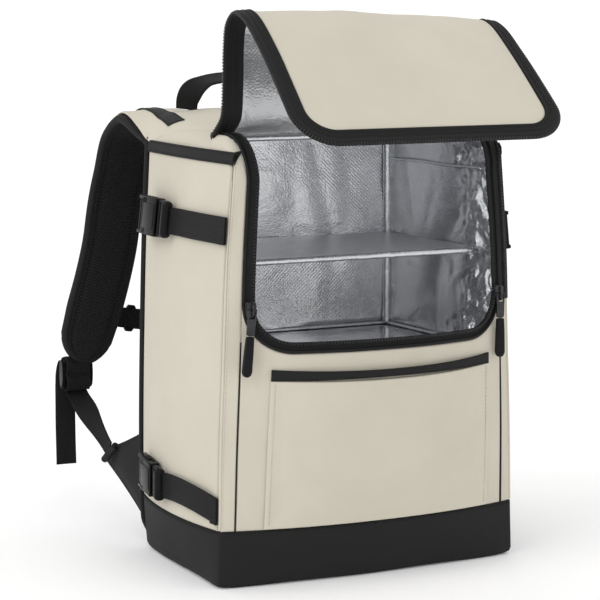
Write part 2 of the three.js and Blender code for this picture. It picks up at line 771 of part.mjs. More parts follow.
function bucklePlug() {
  const { half, depth, frame, slot, slotInset, slotHalf } = BUCKLE;
  const outline = new THREE.Shape();
  const PRONG_TIP = 3;
  outline.moveTo(0, -half + 1);
  outline.lineTo(frame, -half + 1);
  for (const [x, y] of [
    [frame, -PRONG.outer], [PRONG.end - PRONG_TIP, -PRONG.outer], [PRONG.end, -PRONG.inner],
    [frame, -PRONG.inner], [frame, PRONG.inner], [PRONG.end, PRONG.inner],
    [PRONG.end - PRONG_TIP, PRONG.outer], [frame, PRONG.outer], [frame, half - 1], [0, half - 1],
  ]) outline.lineTo(x, y);
  slotted(outline, slotInset, slotInset + slot, slotHalf);
  const body = new THREE.ExtrudeGeometry(outline, { depth: PRONG.depth, bevelEnabled: false });
  return body.translate(0, 0, (depth - PRONG.depth) / 2);
}

function sideStrap({ name, sign, frontZ, backZ, buckleY, toBack }) {
  const front = CORNER_Y + GAP;
  const strapZ = (y) => lerp(frontZ, backZ, (y - front) / (BACK_Y - front));
  const surface = (y) => point(sign * sideX(y, strapZ(y)), y, strapZ(y));
  const far = buckleY + toBack * BUCKLE.length;
  const under = (share, rise) => {
    const y = lerp(buckleY, far, share);
    const z = strapZ(y) + rise * BUCKLE.half;
    return point(sign * sideX(y, z), y, z);
  };
  const along = surface(far).sub(surface(buckleY)).normalize();
  const upright = under(0.5, 1).sub(under(0.5, -1)).multiplyScalar(sign * toBack);
  const outward = along.clone().cross(upright).normalize();
  const squared = outward.clone().cross(along);
  const bumps = [0, 0.25, 0.5, 0.75, 1].flatMap((share) => [-1, 0, 1].map((rise) => under(share, rise)));
  const swell = Math.max(...bumps.map((p) => p.sub(surface(buckleY)).dot(outward)));
  const seat = surface(buckleY).addScaledVector(outward, swell + GAP);
  const placed = new THREE.Matrix4().makeBasis(along, squared, outward).setPosition(seat);
  add(`side_plug_${name}`, bucklePlug().applyMatrix4(placed), 'plastic');
  add(`side_socket_${name}`, buckleSocket().applyMatrix4(placed), 'plastic');
  const seamEnd = toBack > 0 ? front : BACK_Y;
  const webEnd = buckleY - toBack * GAP;
  const lift = (y) => TAPE + GAP + 4 * smoothstep(Math.abs(y - webEnd), 14, 0);
  const web = slab((u, v) => {
    const y = lerp(seamEnd, webEnd, u);
    const z = strapZ(y) + (v - 0.5) * SIDE_WEB;
    return point(sign * (sideX(y, z) + lift(y)), y, z);
  }, TAPE, 10, 2, sign * toBack);
  add(`side_web_${name}`, web, 'black');
}

// Shoulder straps

const strapCurve = curveOf(STRAP_ROWS);

// Point of the strap at a share of its length, a share of its half width and a depth under its outer face.
// Its root droops outward like the shoulder of the top panel, and it flattens as it leaves the bag.
function strapPoint(t, wide, half, deep) {
  const at = strapCurve.getPointAt(t);
  const heading = strapCurve.getTangentAt(t);
  const out = point(0, -heading.z, heading.y).normalize();
  const across = heading.clone().cross(out).normalize();
  const root = 1 - smoothstep(t, 0, STRAP_ROOT_END);
  const droop = STRAP_DROOP * Math.max(-wide * half, 0) / STRAP_ROWS[0].half;
  return at.addScaledVector(across, wide * half).addScaledVector(out, -deep - root * droop);
}

function strapHalf(t) {
  const place = t * strapCurve.getLength();
  let walked = 0;
  for (let i = 1; i < STRAP_ROWS.length; i++) {
    const [a, b] = [STRAP_ROWS[i - 1], STRAP_ROWS[i]];
    const step = Math.hypot(b.x - a.x, b.y - a.y, b.z - a.z);
    if (walked + step >= place) return lerp(a.half, b.half, (place - walked) / step);
    walked += step;
  }
  return STRAP_ROWS.at(-1).half;
}

function strapPad() {
  const SECTION = [
    { wide: -1, deep: 0.22 }, { wide: -0.9, deep: 0 }, { wide: 0, deep: 0 }, { wide: 0.9, deep: 0 },
    { wide: 1, deep: 0.22 }, { wide: 1, deep: 0.72 }, { wide: 0.82, deep: 1 }, { wide: 0, deep: 1 },
    { wide: -0.82, deep: 1 }, { wide: -1, deep: 0.72 },
  ];
  const rings = [];
  for (let i = 0; i <= STRAP_STEPS; i++) {
    const t = i / STRAP_STEPS;
    const depth = lerp(STRAP_ROOT_DEPTH, STRAP_DEPTH, smoothstep(t, 0, STRAP_ROOT_END));
    rings.push(SECTION.map((s) => strapPoint(t, s.wide, strapHalf(t), s.deep * depth)));
  }
  return loft(rings);
}

function strapSheet(lift, depth, firstStep, lastStep, halfOf) {
  const face = (height) => (u, v) => {
    const t = lerp(firstStep, lastStep, v) / STRAP_STEPS;
    return strapPoint(t, 2 * u - 1, halfOf(t), -height);
  };
  return shell(face(lift + depth), face(lift), 2, lastStep - firstStep);
}

function ladderLock() {
  const { half, height, depth, slot, slotHalf } = LADDER;
  const outline = new THREE.Shape();
  const BELLY = 4;
  outline.moveTo(-half + BELLY, -height / 2);
  outline.lineTo(half - BELLY, -height / 2);
  outline.quadraticCurveTo(half + BELLY, 0, half - BELLY, height / 2);
  outline.lineTo(-half + BELLY, height / 2);
  outline.quadraticCurveTo(-half - BELLY, 0, -half + BELLY, -height / 2);
  for (const middle of [-height * 0.22, height * 0.22]) {
    const gap = new THREE.Path();
    gap.moveTo(-slotHalf, middle - slot / 2);
    gap.lineTo(slotHalf, middle - slot / 2);
    gap.lineTo(slotHalf, middle + slot / 2);
    gap.lineTo(-slotHalf, middle + slot / 2);
    outline.holes.push(gap);
  }
  const plate = new THREE.ExtrudeGeometry(outline, { depth, bevelEnabled: false, curveSegments: 6 });
  return plate.rotateX(Math.PI / 2).translate(LADDER.x, LADDER.y + depth, LADDER.z);
}

function strapWeb() {
  const curve = curveOf(WEB_ROWS);
  const atWing = point(0, 0.72, -0.69);
  const hanging = point(1, 0, 0);
  return ribbon(curve, STRAP_WEB, TAPE, 30, (v) => {
    const heading = curve.getTangentAt(v);
    const across = atWing.clone().lerp(hanging, smoothstep(v, 0, 0.42));
    return across.addScaledVector(heading, -across.dot(heading)).normalize();
  });
}

function strapWing() {
  const rootY = BACK_Y + 2 * PIPING_R + 3 * GAP;
  return slab((u, v) => {
    const rootHalf = bodyAt('back', lerp(WING.bottom, WING.top, v)) - PIPING_R - GAP + TAPE;
    const y = lerp(rootY, lerp(WING.tipLowY, WING.tipTopY, v), u);
    const z = lerp(lerp(WING.bottom, WING.top, v), lerp(WING.tipLowZ, WING.tipTopZ, v), u);
    return point(lerp(-rootHalf, WING.tipX, u ** 1.5), y, z);
  }, TAPE, 5, 4, -1);
}

function sternumHalf() {
  const start = STERNUM.startX;
  const end = -STERNUM.buckleHalf - GAP;
  const curve = new THREE.CatmullRomCurve3([0, 0.35, 0.7, 1].map((share) => {
    const drop = STERNUM.sag * (1 - (1 - share) ** 2);
    return point(lerp(start, end, share), STERNUM.y, STERNUM.z - drop);
  }));
  return ribbon(curve, STERNUM.width, TAPE, 8, (v) => {
    const lean = degToRad(STERNUM.endLean) * (1 - smoothstep(v, 0, 0.3));
    return point(Math.sin(lean), 0, Math.cos(lean));
  });
}

function sternumBuckle() {
  const { buckleHalf, z, y, sag } = STERNUM;
  const outline = new THREE.Shape();
  const HALF_HEIGHT = 15;
  const NIP = 4;
  outline.moveTo(-buckleHalf, -HALF_HEIGHT);
  outline.lineTo(-NIP, -HALF_HEIGHT);
  outline.lineTo(0, -HALF_HEIGHT + NIP);
  outline.lineTo(buckleHalf - NIP, -HALF_HEIGHT + NIP);
  outline.lineTo(buckleHalf, -HALF_HEIGHT + 2 * NIP);
  outline.lineTo(buckleHalf, HALF_HEIGHT - 2 * NIP);
  outline.lineTo(buckleHalf - NIP, HALF_HEIGHT - NIP);
  outline.lineTo(0, HALF_HEIGHT - NIP);
  outline.lineTo(-NIP, HALF_HEIGHT);
  outline.lineTo(-buckleHalf, HALF_HEIGHT);
  const DEPTH = 8;
  const body = new THREE.ExtrudeGeometry(outline, { depth: DEPTH, bevelEnabled: false });
  return body.rotateX(Math.PI / 2).translate(0, y + DEPTH / 2, z - sag);
}

function carryHandle() {
  const { legX, legY, rise, width, depth, legTurn, topTurn } = HANDLE;
  const foot = topZ(legX - width / 2, legY + depth) + GAP;
  const top = foot + rise;
  const half = [
    point(-legX, legY, foot), point(-legX, legY + 1, foot + rise * 0.35),
    point(-legX * 0.9, legY + 3, foot + rise * 0.75), point(-legX * 0.6, legY + 4, top - 2),
  ];
  const other = half.map((p) => point(-p.x, p.y, p.z)).reverse();
  const curve = new THREE.CatmullRomCurve3([...half, point(0, legY + 4, top), ...other]);
  const sideways = point(0, 1, 0);
  return ribbon(curve, width, depth, 32, (v) => {
    const heading = curve.getTangentAt(v);
    const fromLeg = Math.min(v, 1 - v);
    const turn = degToRad(lerp(legTurn, topTurn, smoothstep(fromLeg, 0.04, 0.26)));
    const inPlane = sideways.clone().cross(heading).normalize();
    const sign = v < 0.5 ? 1 : -1;
    const flip = smoothstep(fromLeg, 0, 0.24);
    const side = lerp(sign, 1, flip);
    return sideways.clone().multiplyScalar(Math.cos(turn))
      .addScaledVector(inPlane, Math.sin(turn) * side).normalize();
  });
}

// Assembly

add('base_boot', baseBoot(), 'black');
addPair('side_panel', sidePanel(), 'cream');
addPair('front_gusset', frontGusset(), 'cream');
add('front_panel', frontPanel(), 'cream');
add('top_panel', topPanel(), 'cream');
addPair('top_band', topBand(), 'black');
add('back_panel', backPanel(), 'black');
add('back_piping_left', backPiping(-1), 'black');
add('back_piping_right', backPiping(1), 'black');

addPair('lining', liningSide(), 'foil');
add('lining_back', liningBack(), 'foil');
add('lining_top', liningTop(), 'foil');
add('lining_floor', liningFloor(), 'foil');
add('shelf', shelf(), 'foil');

addPair('zip_tape', zipTape(), 'black');
add('opening_binding', openingBinding(), 'black');
const pocketSplit = POCKET_Z - POCKET_BAND;
add('pocket_panel', pocketSheet(BOOT_TOP + GAP, pocketSplit, POCKET_CLOTH, 5), 'cream');
add('pocket_binding', pocketSheet(pocketSplit + GAP, POCKET_Z, POCKET_CLOTH + 1, 1), 'black');

add('lid_outer', lidSheet(0, LID_SHELL), 'cream');
add('lid_lining', lidSheet(LID_SHELL + GAP, FOIL), 'foil');
add('lid_binding', lidBinding(), 'black');

zipHardware('left', -1);
zipHardware('right', 1);
SIDE_STRAPS.forEach(sideStrap);

addPair('strap_pad', strapPad(), 'mesh');
addPair('strap_cover', strapSheet(GAP, STRAP_COVER, 0, STRAP_STEPS - 1, (t) => strapHalf(t) * 0.9), 'cream');
const stripLift = STRAP_COVER + 2 * GAP;
const strip = strapSheet(stripLift, STRAP_STRIP.depth, 0, STRAP_STRIP.steps, () => STRAP_STRIP.half);
addPair('strap_strip', strip, 'black');
addPair('ladder_lock', ladderLock(), 'plastic');
addPair('strap_web', strapWeb(), 'black');
addPair('strap_wing', strapWing(), 'black');
addPair('sternum_strap', sternumHalf(), 'black');
add('sternum_buckle', sternumBuckle(), 'plastic');
add('carry_handle', carryHandle(), 'black');

export default bag;
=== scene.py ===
# %% [markdown]
# # An insulated delivery backpack with its lid thrown open
# The real bag is sewn from cream cloth with black trim and lined with silver foil. This lesson makes
# its visible pieces one group at a time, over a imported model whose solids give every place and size.
# All lengths below are millimetres until a mesh is made; X runs right, Y to the back and Z up.

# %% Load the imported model
import math

import bmesh
import bpy
import numpy as np
from mathutils import Matrix, Vector


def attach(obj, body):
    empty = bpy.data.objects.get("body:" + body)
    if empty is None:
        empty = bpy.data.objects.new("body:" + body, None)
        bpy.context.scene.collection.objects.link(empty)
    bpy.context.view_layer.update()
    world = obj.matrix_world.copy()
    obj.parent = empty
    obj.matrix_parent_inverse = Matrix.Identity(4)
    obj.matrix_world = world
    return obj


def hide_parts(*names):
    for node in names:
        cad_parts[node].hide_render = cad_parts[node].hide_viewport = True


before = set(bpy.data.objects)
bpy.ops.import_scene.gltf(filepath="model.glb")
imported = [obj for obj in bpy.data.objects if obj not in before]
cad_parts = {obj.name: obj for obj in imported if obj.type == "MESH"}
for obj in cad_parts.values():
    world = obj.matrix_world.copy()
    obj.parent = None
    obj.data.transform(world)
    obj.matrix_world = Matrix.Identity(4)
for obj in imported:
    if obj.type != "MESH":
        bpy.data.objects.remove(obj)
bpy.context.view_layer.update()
MM = 0.001
SIDES = (("left", False), ("right", True))

# %% [markdown]
# ## Camera
# The bag is seen from the front left and a little above, through a long lens. A camera could be aimed by
# eye, but this one was fitted to the bag's edges in the photograph, at an assumed size of the bag, so it is
# set by number: where it stands, which way it looks and its focal length.

# %% Camera
EYE = (-1.2610, -2.4109, 0.6521)
AZIMUTH = math.radians(-26.99)
ELEVATION = math.radians(7.7)
LENS = 149.1
lens = bpy.data.cameras.new("camera")
lens.lens = LENS
lens.sensor_width = 36
lens.clip_end = 60
camera = bpy.data.objects.new("camera", lens)
bpy.context.collection.objects.link(camera)
behind = Vector((math.sin(AZIMUTH) * math.cos(ELEVATION), -math.cos(AZIMUTH) * math.cos(ELEVATION),
                 math.sin(ELEVATION)))
camera.location = EYE
camera.rotation_euler = (-behind).to_track_quat("-Z", "Y").to_euler()
bpy.context.scene.camera = camera
print("camera stands", round(camera.location.length, 2), "m from the base")

# %% [markdown]
# ## Lines and surfaces
# Sewn goods are sheets, so most pieces here are nets of points: a function gives the place of the
# cloth at a share across (u) and a share along (v). Sculpting would also work, but a function keeps
# each sheet exactly where its solid is. Tables hold the few measured rows and a spline fills between.

# %% Numbers and splines


def lerp(start, end, share):
    return start + (end - start) * share


def ease(value, low, high):
    share = np.clip((value - low) / (high - low), 0, 1)
    return share * share * (3 - 2 * share)


def unit(vectors):
    return vectors / np.maximum(np.linalg.norm(vectors, axis=-1, keepdims=True), 1e-12)


def xyz(x, y, z):
    return np.stack(np.broadcast_arrays(x, y, z), axis=-1).astype(float)


def through(keys, values, at):
    """Smooth value of a table's column, level beyond its first and last row."""
    keys = np.asarray(keys, float)
    values = np.asarray(values, float)
    at = np.clip(at, keys[0], keys[-1])
    row = np.arange(len(keys))
    before = np.maximum(row - 1, 0)
    after = np.minimum(row + 1, len(keys) - 1)
    slope = (values[after] - values[before]) / (keys[after] - keys[before])
    i = np.clip(np.searchsorted(keys, at) - 1, 0, len(keys) - 2)
    span = keys[i + 1] - keys[i]
    t = (at - keys[i]) / span
    level = (1 + 2 * t) * (1 - t) ** 2 * values[i] + t * t * (3 - 2 * t) * values[i + 1]
    return level + span * (t * (1 - t) ** 2 * slope[i] + t * t * (t - 1) * slope[i + 1])


class Path:
    """A smooth line through points, read by the share of its length."""

    def __init__(self, points, fine=40):
        points = np.asarray(points, float)
        ends = np.vstack([2 * points[0] - points[1], points, 2 * points[-1] - points[-2]])
        t = np.linspace(0, 1, fine, endpoint=False)[:, None]
        stretches = []
        for k in range(len(points) - 1):
            p0, p1, p2, p3 = ends[k:k + 4]
            d0 = np.linalg.norm(p1 - p0) ** 0.5
            d1 = np.linalg.norm(p2 - p1) ** 0.5
            d2 = np.linalg.norm(p3 - p2) ** 0.5
            leave = ((p1 - p0) / d0 - (p2 - p0) / (d0 + d1) + (p2 - p1) / d1) * d1
            arrive = ((p2 - p1) / d1 - (p3 - p1) / (d1 + d2) + (p3 - p2) / d2) * d1
            bend = 3 * (p2 - p1) - 2 * leave - arrive
            stretches.append(p1 + leave * t + bend * t ** 2 + (2 * (p1 - p2) + leave + arrive) * t ** 3)
        self.points = np.vstack([*stretches, points[-1:]])
        steps = np.linalg.norm(np.diff(self.points, axis=0), axis=1)
        self.way = np.concatenate([[0], np.cumsum(steps)])
        self.length = self.way[-1]

    def at(self, share):
        way = np.clip(share, 0, 1) * self.length
        return np.stack([np.interp(way, self.way, self.points[:, k]) for k in range(3)], axis=-1)

    def heading(self, share):
        step = 2e-3
        return unit(self.at(np.minimum(share + step, 1)) - self.at(np.maximum(share - step, 0)))


def waves(points, size, seed, count=9):
    """Soft random swells about as long as size, near -1 to 1."""
    chance = np.random.default_rng(seed)
    total = np.zeros(points.shape[:-1])
    for _ in range(count):
        way = unit(chance.normal(size=3))
        pitch = size * chance.uniform(0.7, 1.5)
        total += np.sin(points @ way * 2 * np.pi / pitch + chance.uniform(0, 2 * np.pi))
    return total / math.sqrt(count)


MEAN_FOLD = 0.64  # mean of a sine without its sign


def creases(points, size, seed, count=5):
    """Sharp-edged random folds, as in foil that was crushed and smoothed again."""
    chance = np.random.default_rng(seed)
    bent = points + 0.35 * size * np.stack([waves(points, 1.6 * size, seed + k) for k in (1, 2, 3)], -1)
    total = np.zeros(points.shape[:-1])
    for _ in range(count):
        way = unit(chance.normal(size=3))
        pitch = size * chance.uniform(0.8, 1.8)
        total += np.abs(np.sin(bent @ way * np.pi / pitch + chance.uniform(0, 2 * np.pi)))
    return (total - MEAN_FOLD * count) / math.sqrt(count)


print("splines and swells ready")

# %% [markdown]
# ## Outline of the body
# The body is a box whose sides swell, whose front bows and whose top rises to the back. These are the
# solids' own measures, kept as one table by height, so that every sheet sewn on it fits the others.

# %% Outline of the body
GAP = 0.3
PANEL = 5.0
TAPE = 2.0
FOIL = 1.5
BODY = {
    "z": (0, 60, 150, 250, 350, 455),
    "corner": (180, 178, 176, 172, 168, 160),
    "back": (168, 172, 172, 170, 167, 162),
    "bulge": (2, 12, 13, 13, 11, 4),
    "front": (-112, -126, -138, -146, -144, -132),
}
CORNER_Y = -100.0
BACK_Y = 115.0
BOW_POWER = 2.2
BOOT_TOP = 60.0
RIM_Z = 455.0
RIM_CORNER = 8.0
TOP_RISE = {"front": 20.0, "back": 38.0}
SHOULDER_POWER = 8
SHOULDER_ROUND = 0.6
ZIP_SHARE = 0.915
ZIP_HINGE_X = 152.0
OPEN_Z = 250.0
OPEN_R = 50.0
SHOULDER_Z = 430.0
SHOULDER_R = 45.0
SHOULDER_END = SHOULDER_Z + SHOULDER_R * math.pi / 2
HINGE_Y = -40.0
HINGE_RUN = 20.0
HINGE_END = SHOULDER_END + HINGE_RUN


def body(column, z):
    return through(BODY["z"], BODY[column], z)


def side_x(y, z):
    t = (y - CORNER_Y) / (BACK_Y - CORNER_Y)
    return lerp(body("corner", z), body("back", z), t) + body("bulge", z) * (1 - (2 * t - 1) ** 2)


def front_y(x, z):
    middle = body("front", z)
    share = np.minimum(np.abs(x) / body("corner", z), 1)
    return middle + (CORNER_Y - middle) * share ** BOW_POWER


def top_half(y):
    return lerp(body("corner", RIM_Z), body("back", RIM_Z), (y - CORNER_Y) / (BACK_Y - CORNER_Y))


def top_z(x, y):
    rise = lerp(TOP_RISE["front"], TOP_RISE["back"], (y - HINGE_Y) / (BACK_Y - HINGE_Y))
    share = np.minimum(np.abs(x) / top_half(y), 1)
    return RIM_Z + rise * (1 - share ** SHOULDER_POWER) ** SHOULDER_ROUND


def zip_x(way):
    """Half width of the zip line, by the height up the front and then the way over the top."""
    low = ZIP_SHARE * body("corner", np.minimum(way, SHOULDER_Z))
    return lerp(low, ZIP_HINGE_X, np.maximum(way - SHOULDER_Z, 0) / (HINGE_END - SHOULDER_Z))


def wrap(x, way):
    """Point of the front, carried over the rounded shoulder to the hinge."""
    foot = front_y(x, np.minimum(way, SHOULDER_Z))
    turn = np.clip((way - SHOULDER_Z) / SHOULDER_R, 0, np.pi / 2)
    y = foot + SHOULDER_R * (1 - np.cos(turn))
    flat = np.maximum(way - SHOULDER_END, 0) / HINGE_RUN
    z = np.minimum(way, SHOULDER_Z) + SHOULDER_R * np.sin(turn)
    return xyz(x, lerp(y, HINGE_Y, flat), z)


print("body at the rim is", 2 * float(body("corner", RIM_Z)), "mm wide")

# %% [markdown]
# ## Making meshes
# Cloth has two faces and an edge that rolls over, so a net of points becomes a closed sheet: the outer
# face, an inner face one thickness below it, and both drawn together along the border. A Solidify
# modifier would give square borders; rolling them makes the small valley of a real seam for free.
# The net's own lengths are kept as a map, so that a weave later runs with the cloth. A sheet also measures
# the flat piece that it is cut from: its smooth surface, before slack and creases, a little larger.

# %% Mesh helpers
FINISH = {}
STITCHES = {"cream": [], "black": []}
STITCH = {"length": 3.2, "width": 0.8, "height": 0.45, "pitch": 4.4}
CUT_EASE = 1.01


def make(name, points, faces, finish, body_name="bag", stands_for=(), cut=None, mirror=False, sharp=None):
    """One object from points in millimetres, riding on a body."""
    if mirror:
        points = points * (-1, 1, 1)
        faces = [tuple(face)[::-1] for face in faces]
    mesh = bpy.data.meshes.new(name)
    mesh.from_pydata((points * MM).tolist(), [], [tuple(face) for face in faces])
    mesh.shade_smooth()
    if sharp is not None:
        mesh.set_sharp_from_angle(angle=math.radians(sharp))
    if cut is not None:
        corner = np.zeros(len(mesh.loops), np.int32)
        mesh.loops.foreach_get("vertex_index", corner)
        layer = mesh.uv_layers.new(name="Cut")
        layer.uv.foreach_set("vector", (cut * MM)[corner].astype(np.float32).ravel())
    made = bpy.data.objects.new(name, mesh)
    bpy.context.collection.objects.link(made)
    material, slot = FINISH[finish]
    mesh.materials.append(material)
    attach(made, body_name)
    if stands_for:
        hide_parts(*stands_for)
    return made


def net(steps):
    """Shares from 0 to 1 whose lines crowd towards both ends."""
    t = np.linspace(0, 1, steps + 1)
    return t - 0.8 * np.sin(2 * np.pi * t) / (2 * np.pi)


def normals(points):
    return unit(np.cross(np.gradient(points, axis=1), np.gradient(points, axis=0)))


def run(points, axis):
    """Length walked along one way of a net."""
    steps = np.linalg.norm(np.diff(points, axis=axis), axis=-1)
    start = np.zeros_like(np.take(steps, [0], axis=axis))
    return np.concatenate([start, np.cumsum(steps, axis=axis)], axis=axis)


def sheet_faces(rows, columns):
    """Quads of a sheet's two faces and its four edges; the second face's points follow the first's."""
    ids = np.arange(rows * columns).reshape(rows, columns)
    under = rows * columns

    def quads(a, b, c, d):
        return np.stack([a, b, c, d], axis=-1).reshape(-1, 4)

    def wall(line):
        return quads(line[1:], line[:-1], line[:-1] + under, line[1:] + under)

    a, b, c, d = ids[:-1, :-1], ids[:-1, 1:], ids[1:, 1:], ids[1:, :-1]
    edges = [wall(line) for line in (ids[0], ids[-1][::-1], ids[::-1, 0], ids[:, -1])]
    return np.vstack([quads(a, b, c, d), quads(a, d, c, b) + under, *edges])


def between(name, outer, inner, finish, **more):
    """A closed sheet between two nets of points."""
    cut = np.stack([run(outer, 1), run(outer, 0)], axis=-1).reshape(-1, 2)
    points = np.vstack([outer.reshape(-1, 3), inner.reshape(-1, 3)])
    return make(name, points, sheet_faces(*outer.shape[:2]), finish, cut=np.vstack([cut, cut]), **more)


def border(points):
    """Distance of each point of a net from its nearest edge."""
    across = run(points, 1)
    along = run(points, 0)
    across = np.minimum(across, across[:, -1:] - across)
    along = np.minimum(along, along[-1:] - along)
    return np.minimum(across, along)


def net_area(points):
    """Area of a net of points, from the two diagonals of each cell."""
    one = points[1:, 1:] - points[:-1, :-1]
    other = points[1:, :-1] - points[:-1, 1:]
    return np.linalg.norm(np.cross(one, other), axis=-1).sum() / 2


def cloth(name, surface, depth, finish, across, along, facing=1, relief=None, roll=4.0, fade=18.0,
          held="stretched", rests_on=(), **more):
    """A closed sheet of cloth under a surface, its border rolled over. Its cut is measured on the
    smooth surface, before the slack and creases, and is a little larger each way."""
    u, v = np.meshgrid(net(across), net(along))
    if facing < 0:
        u = 1 - u
    points = surface(u, v)
    cut = points
    out = normals(points)
    if relief is not None:
        points = points + out * (relief(points, u, v) * ease(border(points), 0, fade))[..., None]
        out = normals(points)
    round_off = np.sqrt(1 - (1 - np.clip(border(points) / roll, 0, 1)) ** 2)
    inset = (depth / 2 * (1 - round_off))[..., None]
    made = between(name, points - out * inset, points - out * (depth - inset), finish, **more)
    if rests_on:
        width = CUT_EASE * run(cut, 1)[:, -1].max() * MM
        length = CUT_EASE * run(cut, 0)[-1].max() * MM
        area = CUT_EASE ** 2 * net_area(cut) * MM ** 2
    return made


def gather(*forms):
    """Several points-and-faces pairs as one."""
    points = []
    faces = []
    start = 0
    for part, part_faces in forms:
        points.append(np.asarray(part, float))
        faces.extend(tuple(int(i) + start for i in face) for face in part_faces)
        start += len(part)
    return np.vstack(points), faces


def placed(form, matrix):
    points, faces = form
    matrix = np.array(matrix)
    return points @ matrix[:3, :3].T + matrix[:3, 3], faces


def rod(line, radius, sides=10):
    """A round cord along a line, closed at both ends."""
    line = np.asarray(line, float)
    ahead = unit(np.gradient(line, axis=0))
    side = np.zeros_like(line)
    first = np.cross(ahead[0], (0.31, 0.52, 0.79))
    for k in range(len(line)):
        start = first if k == 0 else side[k - 1]
        side[k] = unit(start - ahead[k] * (start @ ahead[k]))
    turn = np.arange(sides) / sides * 2 * np.pi
    ring = np.cos(turn)[:, None] * side[:, None] + np.sin(turn)[:, None] * np.cross(ahead, side)[:, None]
    points = line[:, None] + np.broadcast_to(radius, len(line))[:, None, None] * ring
    ids = np.arange(len(line) * sides).reshape(len(line), sides)
    turned = np.roll(ids, -1, axis=1)
    quads = np.stack([ids[:-1], turned[:-1], turned[1:], ids[1:]], axis=-1).reshape(-1, 4)
    return points.reshape(-1, 3), [*quads.tolist(), ids[0][::-1].tolist(), ids[-1].tolist()]


def from_bmesh(bm):
    bm.verts.index_update()
    points = np.array([v.co[:] for v in bm.verts])
    faces = [tuple(v.index for v in face.verts) for face in bm.faces]
    bm.free()
    return points, faces


def block(low, high, round_by, steps=2):
    """A box with rounded edges."""
    bm = bmesh.new()
    size = np.subtract(high, low)
    middle = Matrix.Translation(Vector(np.add(low, high) / 2))
    bmesh.ops.create_cube(bm, size=1, matrix=middle @ Matrix.Diagonal((*size, 1)))
    bmesh.ops.bevel(bm, geom=bm.edges[:], offset=round_by, segments=steps, profile=0.5, affect="EDGES")
    return from_bmesh(bm)


def plate(outline, low, high, round_by, steps=2):
    """A flat plate of an outline, from z low to high, with its two rims rounded."""
    bm = bmesh.new()
    base = [bm.verts.new((x, y, low)) for x, y in outline]
    top = [bm.verts.new((x, y, high)) for x, y in outline]
    caps = [bm.faces.new(base[::-1]), bm.faces.new(top)]
    for k in range(len(outline)):
        after = (k + 1) % len(outline)
        bm.faces.new((base[k], base[after], top[after], top[k]))
    rims = list({edge for cap in caps for edge in cap.edges})
    bmesh.ops.bevel(bm, geom=rims, offset=round_by, segments=steps, profile=0.5, affect="EDGES")
    return from_bmesh(bm)


def on(surface, u, v, facing=1):
    """Points of a line on a surface, and the ways out of it."""
    u, v = np.broadcast_arrays(np.asarray(u, float), np.asarray(v, float))
    step = 1e-3
    du = surface(np.minimum(u + step, 1), v) - surface(np.maximum(u - step, 0), v)
    dv = surface(u, np.minimum(v + step, 1)) - surface(u, np.maximum(v - step, 0))
    return surface(u, v), unit(np.cross(du, dv)) * facing


def chip(length, width, height):
    """A tiny block whose top is drawn in, with x along a line and z out of it."""
    corners = ((-1, -1), (1, -1), (1, 1), (-1, 1))
    base = [(x * length / 2, y * width / 2, -0.3 * height) for x, y in corners]
    top = [(x * length * 0.32, y * width * 0.32, height) for x, y in corners]
    faces = [(3, 2, 1, 0), (4, 5, 6, 7), (0, 1, 5, 4), (1, 2, 6, 5), (2, 3, 7, 6), (3, 0, 4, 7)]
    return np.array([*base, *top]), np.array(faces)


def repeated(shape, line, out, step):
    """A small shape set again and again along a line."""
    points, faces = shape
    way = run(line[None], 1)[0]
    count = max(int(way[-1] // step), 2)
    at = (np.arange(count) + 0.5) * way[-1] / count
    spots = np.stack([np.interp(at, way, line[:, k]) for k in range(3)], axis=-1)
    out = np.stack([np.interp(at, way, out[:, k]) for k in range(3)], axis=-1)
    ahead = unit(np.gradient(spots, axis=0))
    across = unit(np.cross(out, ahead))
    axes = np.stack([ahead, across, np.cross(ahead, across)], axis=1)
    every = spots[:, None] + np.einsum("pk,nkc->npc", points, axes)
    ids = faces[None] + np.arange(count)[:, None, None] * len(points)
    return every.reshape(-1, 3), ids.reshape(-1, faces.shape[1])


def stitch(colour, surface, u, v, facing=1, mirror=False):
    """A row of lockstitches along a line of a surface, kept for one mesh per colour."""
    thread = chip(STITCH["length"], STITCH["width"], STITCH["height"])
    points, faces = repeated(thread, *on(surface, u, v, facing), STITCH["pitch"])
    if mirror:
        points = points * (-1, 1, 1)
        faces = faces[:, ::-1]
    STITCHES[colour].append((points, faces))


print("mesh helpers ready")

# %% [markdown]
# ## Finishes
# The bag has woven cream cloth, woven black cloth, black air mesh, ribbed webbing, embossed foil, moulded
# plastic, dark metal and rubber. What several of them share is made once as a node group: a weave, a
# cloudy change of tone, and a fine grain. Pictures could be used instead, but nodes keep real scale.

# %% Node helpers


def node(tree, kind, inputs=None, **settings):
    """Adds a node, sets it, and links or fills its inputs."""
    made = tree.nodes.new(kind)
    for key, value in settings.items():
        setattr(made, key, value)
    for key, value in (inputs or {}).items():
        if isinstance(value, bpy.types.NodeSocket):
            tree.links.new(value, made.inputs[key])
        else:
            made.inputs[key].default_value = value
    return made


def math_node(tree, operation, first, second=0.0):
    return node(tree, "ShaderNodeMath", {0: first, 1: second}, operation=operation).outputs[0]


def group(name, inputs, outputs):
    """An empty node group with named sockets, and its two end nodes."""
    made = bpy.data.node_groups.new(name, "ShaderNodeTree")
    for label, kind, value in inputs:
        socket = made.interface.new_socket(label, in_out="INPUT", socket_type=kind)
        if value is not None:
            socket.default_value = value
    for label, kind in outputs:
        made.interface.new_socket(label, in_out="OUTPUT", socket_type=kind)
    return made, made.nodes.new("NodeGroupInput"), made.nodes.new("NodeGroupOutput")


FLOAT = "NodeSocketFloat"
COLOUR = "NodeSocketColor"
VECTOR = "NodeSocketVector"
print("node helpers ready")

# %% [markdown]
# A plain weave is two sets of threads that pass over and under each other. Two sine waves multiplied
# give just that chequer of high and low spots. The pitch is in threads per metre.

